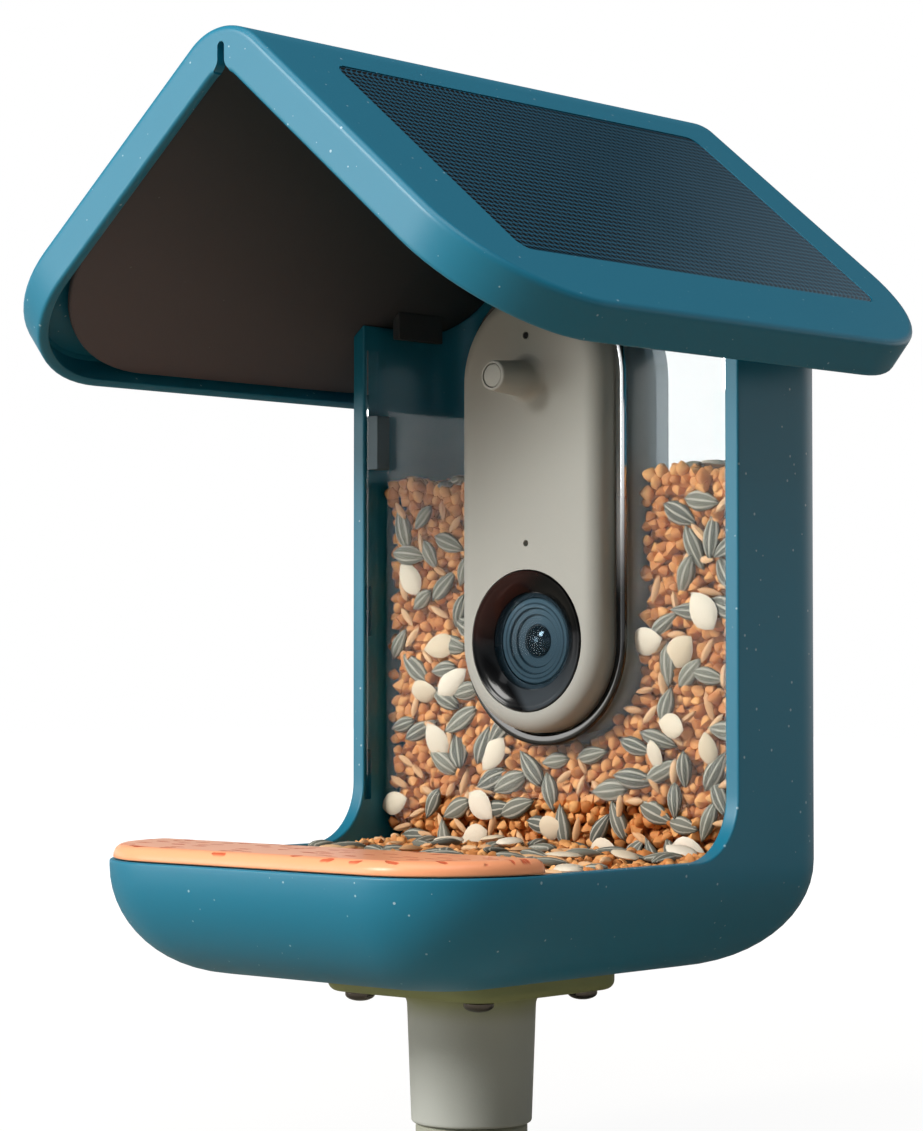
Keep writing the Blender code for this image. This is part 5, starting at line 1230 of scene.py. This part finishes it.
def layeredSeed(uRange, vRange, place, basis, counts, depths, keep):
    # A wall or bed of seed: big seeds thrown first, small grains filling round them, then layers behind
    taken = np.empty((0, 2))
    batches = []
    for (kind, (apart, raised)), count in zip(bigSeeds.items(), counts):
        spots = sparseSpots(count, uRange, vRange, apart)
        spots = spots[keep(spots, room["big"])]
        spots = spots[~nearAny(spots, taken, room["bigToBig"])]
        depth = depths[0] + chance.uniform(*room["proud"], len(spots)) - raised
        batches.append(seedBatch(kind, place(spots, depth), room["tilt"], basis, room["bigSpread"]))
        taken = np.vstack([taken, spots])
    for number, depth in enumerate(depths):
        spots = evenSpots(uRange, vRange, room["pitch"])
        spots = spots[keep(spots, room["small"])]
        if number == 0:
            spots = spots[~nearAny(spots, taken, room["smallToBig"])]
        places = place(spots, depth + chance.uniform(*room["sunk"], len(spots)))
        batches.append(seedBatch("grain", places, 0, basis, room["smallSpread"]))
    return batches


# The hopper's inside as the seed finds it, and the tray's, from its perch to the window
store = dict(front=0.0367, back=0.0640, top=0.1842, floor=0.0566, fillet=0.0237, half=0.0647, clear=0.0012,
             pocket=0.0290, hatchHalf=0.060, level=0.1834, wave=0.0012, behindPocket=0.0525, topPocket=0.0318)
tray = dict(perch=-0.046, length=0.076, half=0.0642, level=0.0794, climb=0.0030, window=0.0305)


def innerHalf(height):
    # Half width inside the body's rounded floor at a height
    rise = np.clip(1 - (height - store["floor"]) / store["fillet"], 0, 1)
    return store["half"] - store["fillet"] * (1 - np.sqrt(1 - rise ** 2))


def frontPlace(spots, depth):
    return upright(spots, store["front"] + depth)


def keepFront(spots, margin):
    inside = np.abs(spots[:, 0]) < innerHalf(spots[:, 1]) - store["clear"] - 0.5 * margin
    return inside & offCapsule(spots, store["pocket"] + 0.5 * margin) & (spots[:, 1] < store["top"] - margin)


def backPlace(spots, depth):
    return upright(spots, store["back"] - depth)


def keepBack(spots, margin):
    return (np.abs(spots[:, 0]) < store["hatchHalf"] - margin) & (spots[:, 1] < store["top"] - margin)


def topPlace(spots, depth):
    # Level, but for a slow wave across
    return lying(spots, store["level"] - depth + store["wave"] * np.sin(spots[:, 0] * 190))


def keepTop(spots, margin):
    # On the level top: beside the pocket, or behind it
    atTop = np.stack([spots[:, 0], 0 * spots[:, 0] + 0.184], -1)
    return offCapsule(atTop, store["topPocket"]) | (spots[:, 1] > store["behindPocket"])


def trayPlace(spots, depth):
    # A rise from the perch to the window, with two sine waves across, and a fall towards both sides
    rise = np.clip((spots[:, 1] - tray["perch"]) / tray["length"], 0, 1)
    swell = 0.0006 * np.sin(spots[:, 0] * 95 + 1.0) * rise + 0.0005 * np.sin(spots[:, 0] * 230)
    fall = 0.0012 * (np.abs(spots[:, 0]) / 0.062) ** 4
    return lying(spots, tray["level"] + tray["climb"] * rise ** 1.4 + swell - fall - depth)


def keepTray(spots, margin):
    return (np.abs(spots[:, 0]) < tray["half"] - 1.2 * margin) & (spots[:, 1] < tray["window"] - margin)


def makeSeed():
    # Behind the window and at the hatch the flat sides face out; the level top and the tray lie flat
    outBasis = np.array([[1.0, 0, 0], [0, 0, 1.0], [0, -1.0, 0]])
    window = layeredSeed((-0.0636, 0.0636), (0.0600, 0.1850), frontPlace, outBasis, (150, 62, 230),
                         (0.0, 0.0026, 0.0052), keepFront)
    seedPiece("seed_behind_window", window, "hopper_seed")
    hatch = layeredSeed((-0.058, 0.058), (0.1030, 0.1850), backPlace, outBasis * (-1, -1, 1), (64, 40, 110),
                        (0.0, 0.0028), keepBack)
    hatch += layeredSeed((-0.0610, 0.0610), (0.0355, 0.0640), topPlace, np.eye(3), (14, 6, 16), (0.0, 0.0025),
                         keepTop)
    seedPiece("seed_at_hatch", hatch, "hopper_seed")
    inTray = layeredSeed((-0.0640, 0.0640), (-0.0462, 0.0300), trayPlace, np.eye(3), (62, 30, 120),
                         (0.0004, 0.0030), keepTray)
    seedPiece("seed_in_tray", inTray, "tray_seed")

    # Filling under the loose layers
    outline = np.array([[0.0410, 0.0610], [0.0632, 0.1035], [0.0632, 0.1800], [0.0410, 0.1800]])
    filling = prism(outline, -0.0598, 0.0598, crossing)
    carve(filling, prism(capsuleRing(0.0295), 0.030, 0.0506, upright))
    settle(filling, "seed_filling", "hopper_seed", "bed", "body")
    outline = np.array([[-0.0475, 0.0720], [0.0308, 0.0720], [0.0308, 0.0796], [-0.0475, 0.0766]])
    settle(prism(outline, -0.0622, 0.0622, crossing), "seed_bed", "tray_seed", "bed", "body")


makeSeed()
print("seed made")


# Floor, light and camera

def makeStudio():
    # Floor: it glows for the camera, a little less near the object, and takes shadows
    corners = [(-4, -4, -0.0005), (4, -4, -0.0005), (4, 4, -0.0005), (-4, 4, -0.0005)]
    ground = meshObject(corners, [[0, 1, 2, 3]], "studio_floor", outward=False)
    white = (1.0, 1.0, 1.0, 1.0)
    finish = Finish("studioFloor", baseColor=shade(164, 158, 146), roughness=0.9, specularIorLevel=0.0)
    glow = finish.node("ShaderNodeEmission", {}, {"Color": white, "Strength": 1.16})
    where = finish.place()
    x, y = finish.part(where, "X"), finish.part(where, "Y")
    seen = finish.node("ShaderNodeLightPath", {}, {}, "Is Camera Ray")
    share = seen * (0.82 + 0.18 * finish.rise(x * x + y * y, 0.05, 0.8))
    ground.data.materials.append(finish.mixed(share, finish.own, glow))

    # World: white where it is seen; gloss reflects a white backdrop round the horizon under a dim ceiling
    world = bpy.data.worlds.new("studio")
    bpy.context.scene.world = world
    sky = Tree(world)
    eye, clear, gloss = [sky.node("ShaderNodeLightPath", {}, {}, "Is %s Ray" % ray)
                         for ray in ("Camera", "Transmission", "Glossy")]
    height = sky.part(sky.node("ShaderNodeTexCoord", {}, {}, "Generated"), "Z")
    shone = sky.maths("MAXIMUM", sky.maths("MAXIMUM", eye, clear), gloss * sky.rise(height, 0.03, 0.30, 1.0, 0.02))
    level = sky.node("ShaderNodeMapRange", {}, {"Value": shone, "To Min": 0.11, "To Max": 1.0})
    sky.feed(sky.tree.nodes["Background"], {"Color": white, "Strength": level})

    # Square lamps, aimed at the object's middle: place, size, power and tint
    lamps = dict(
        key=((-0.60, -1.46, 0.92), 0.5, 29.0, (1.0, 0.985, 0.955)),
        sheen=((-1.20, -1.30, 0.26), 0.6, 7.0, (1.0, 0.99, 0.96)),
        overhead=((0.25, -0.55, 1.50), 1.3, 17.0, (0.97, 0.99, 1.0)),
        behind=((0.20, 1.40, 0.60), 0.8, 1.2, (1.0, 1.0, 1.0)),
    )
    for name, (place, size, power, tint) in lamps.items():
        data = bpy.data.lights.new(name, "AREA")
        data.shape, data.size, data.energy, data.color = "SQUARE", size, power, tint
        lamp = bpy.data.objects.new(name, data)
        lamp.location = place
        away = np.array(place) - (0.0, 0.0, 0.16)
        flat = math.hypot(away[0], away[1])
        lamp.rotation_euler = (math.atan2(flat, away[2]), 0, math.atan2(away[1], away[0]) + math.pi / 2)
        bpy.context.scene.collection.objects.link(lamp)

    lens = bpy.data.cameras.new("camera")
    lens.sensor_fit = "VERTICAL"
    lens.sensor_height = 36.0
    lens.lens = 98.79
    lens.clip_start = 0.05
    viewer = bpy.data.objects.new("camera", lens)
    viewer.location = (0.5501, -0.6231, 0.132)
    viewer.rotation_euler = (math.radians(90 + 1.817), 0, math.radians(41.624))
    bpy.context.scene.collection.objects.link(viewer)
    bpy.context.scene.camera = viewer


makeStudio()
bpy.context.scene.view_settings.view_transform = "Standard"
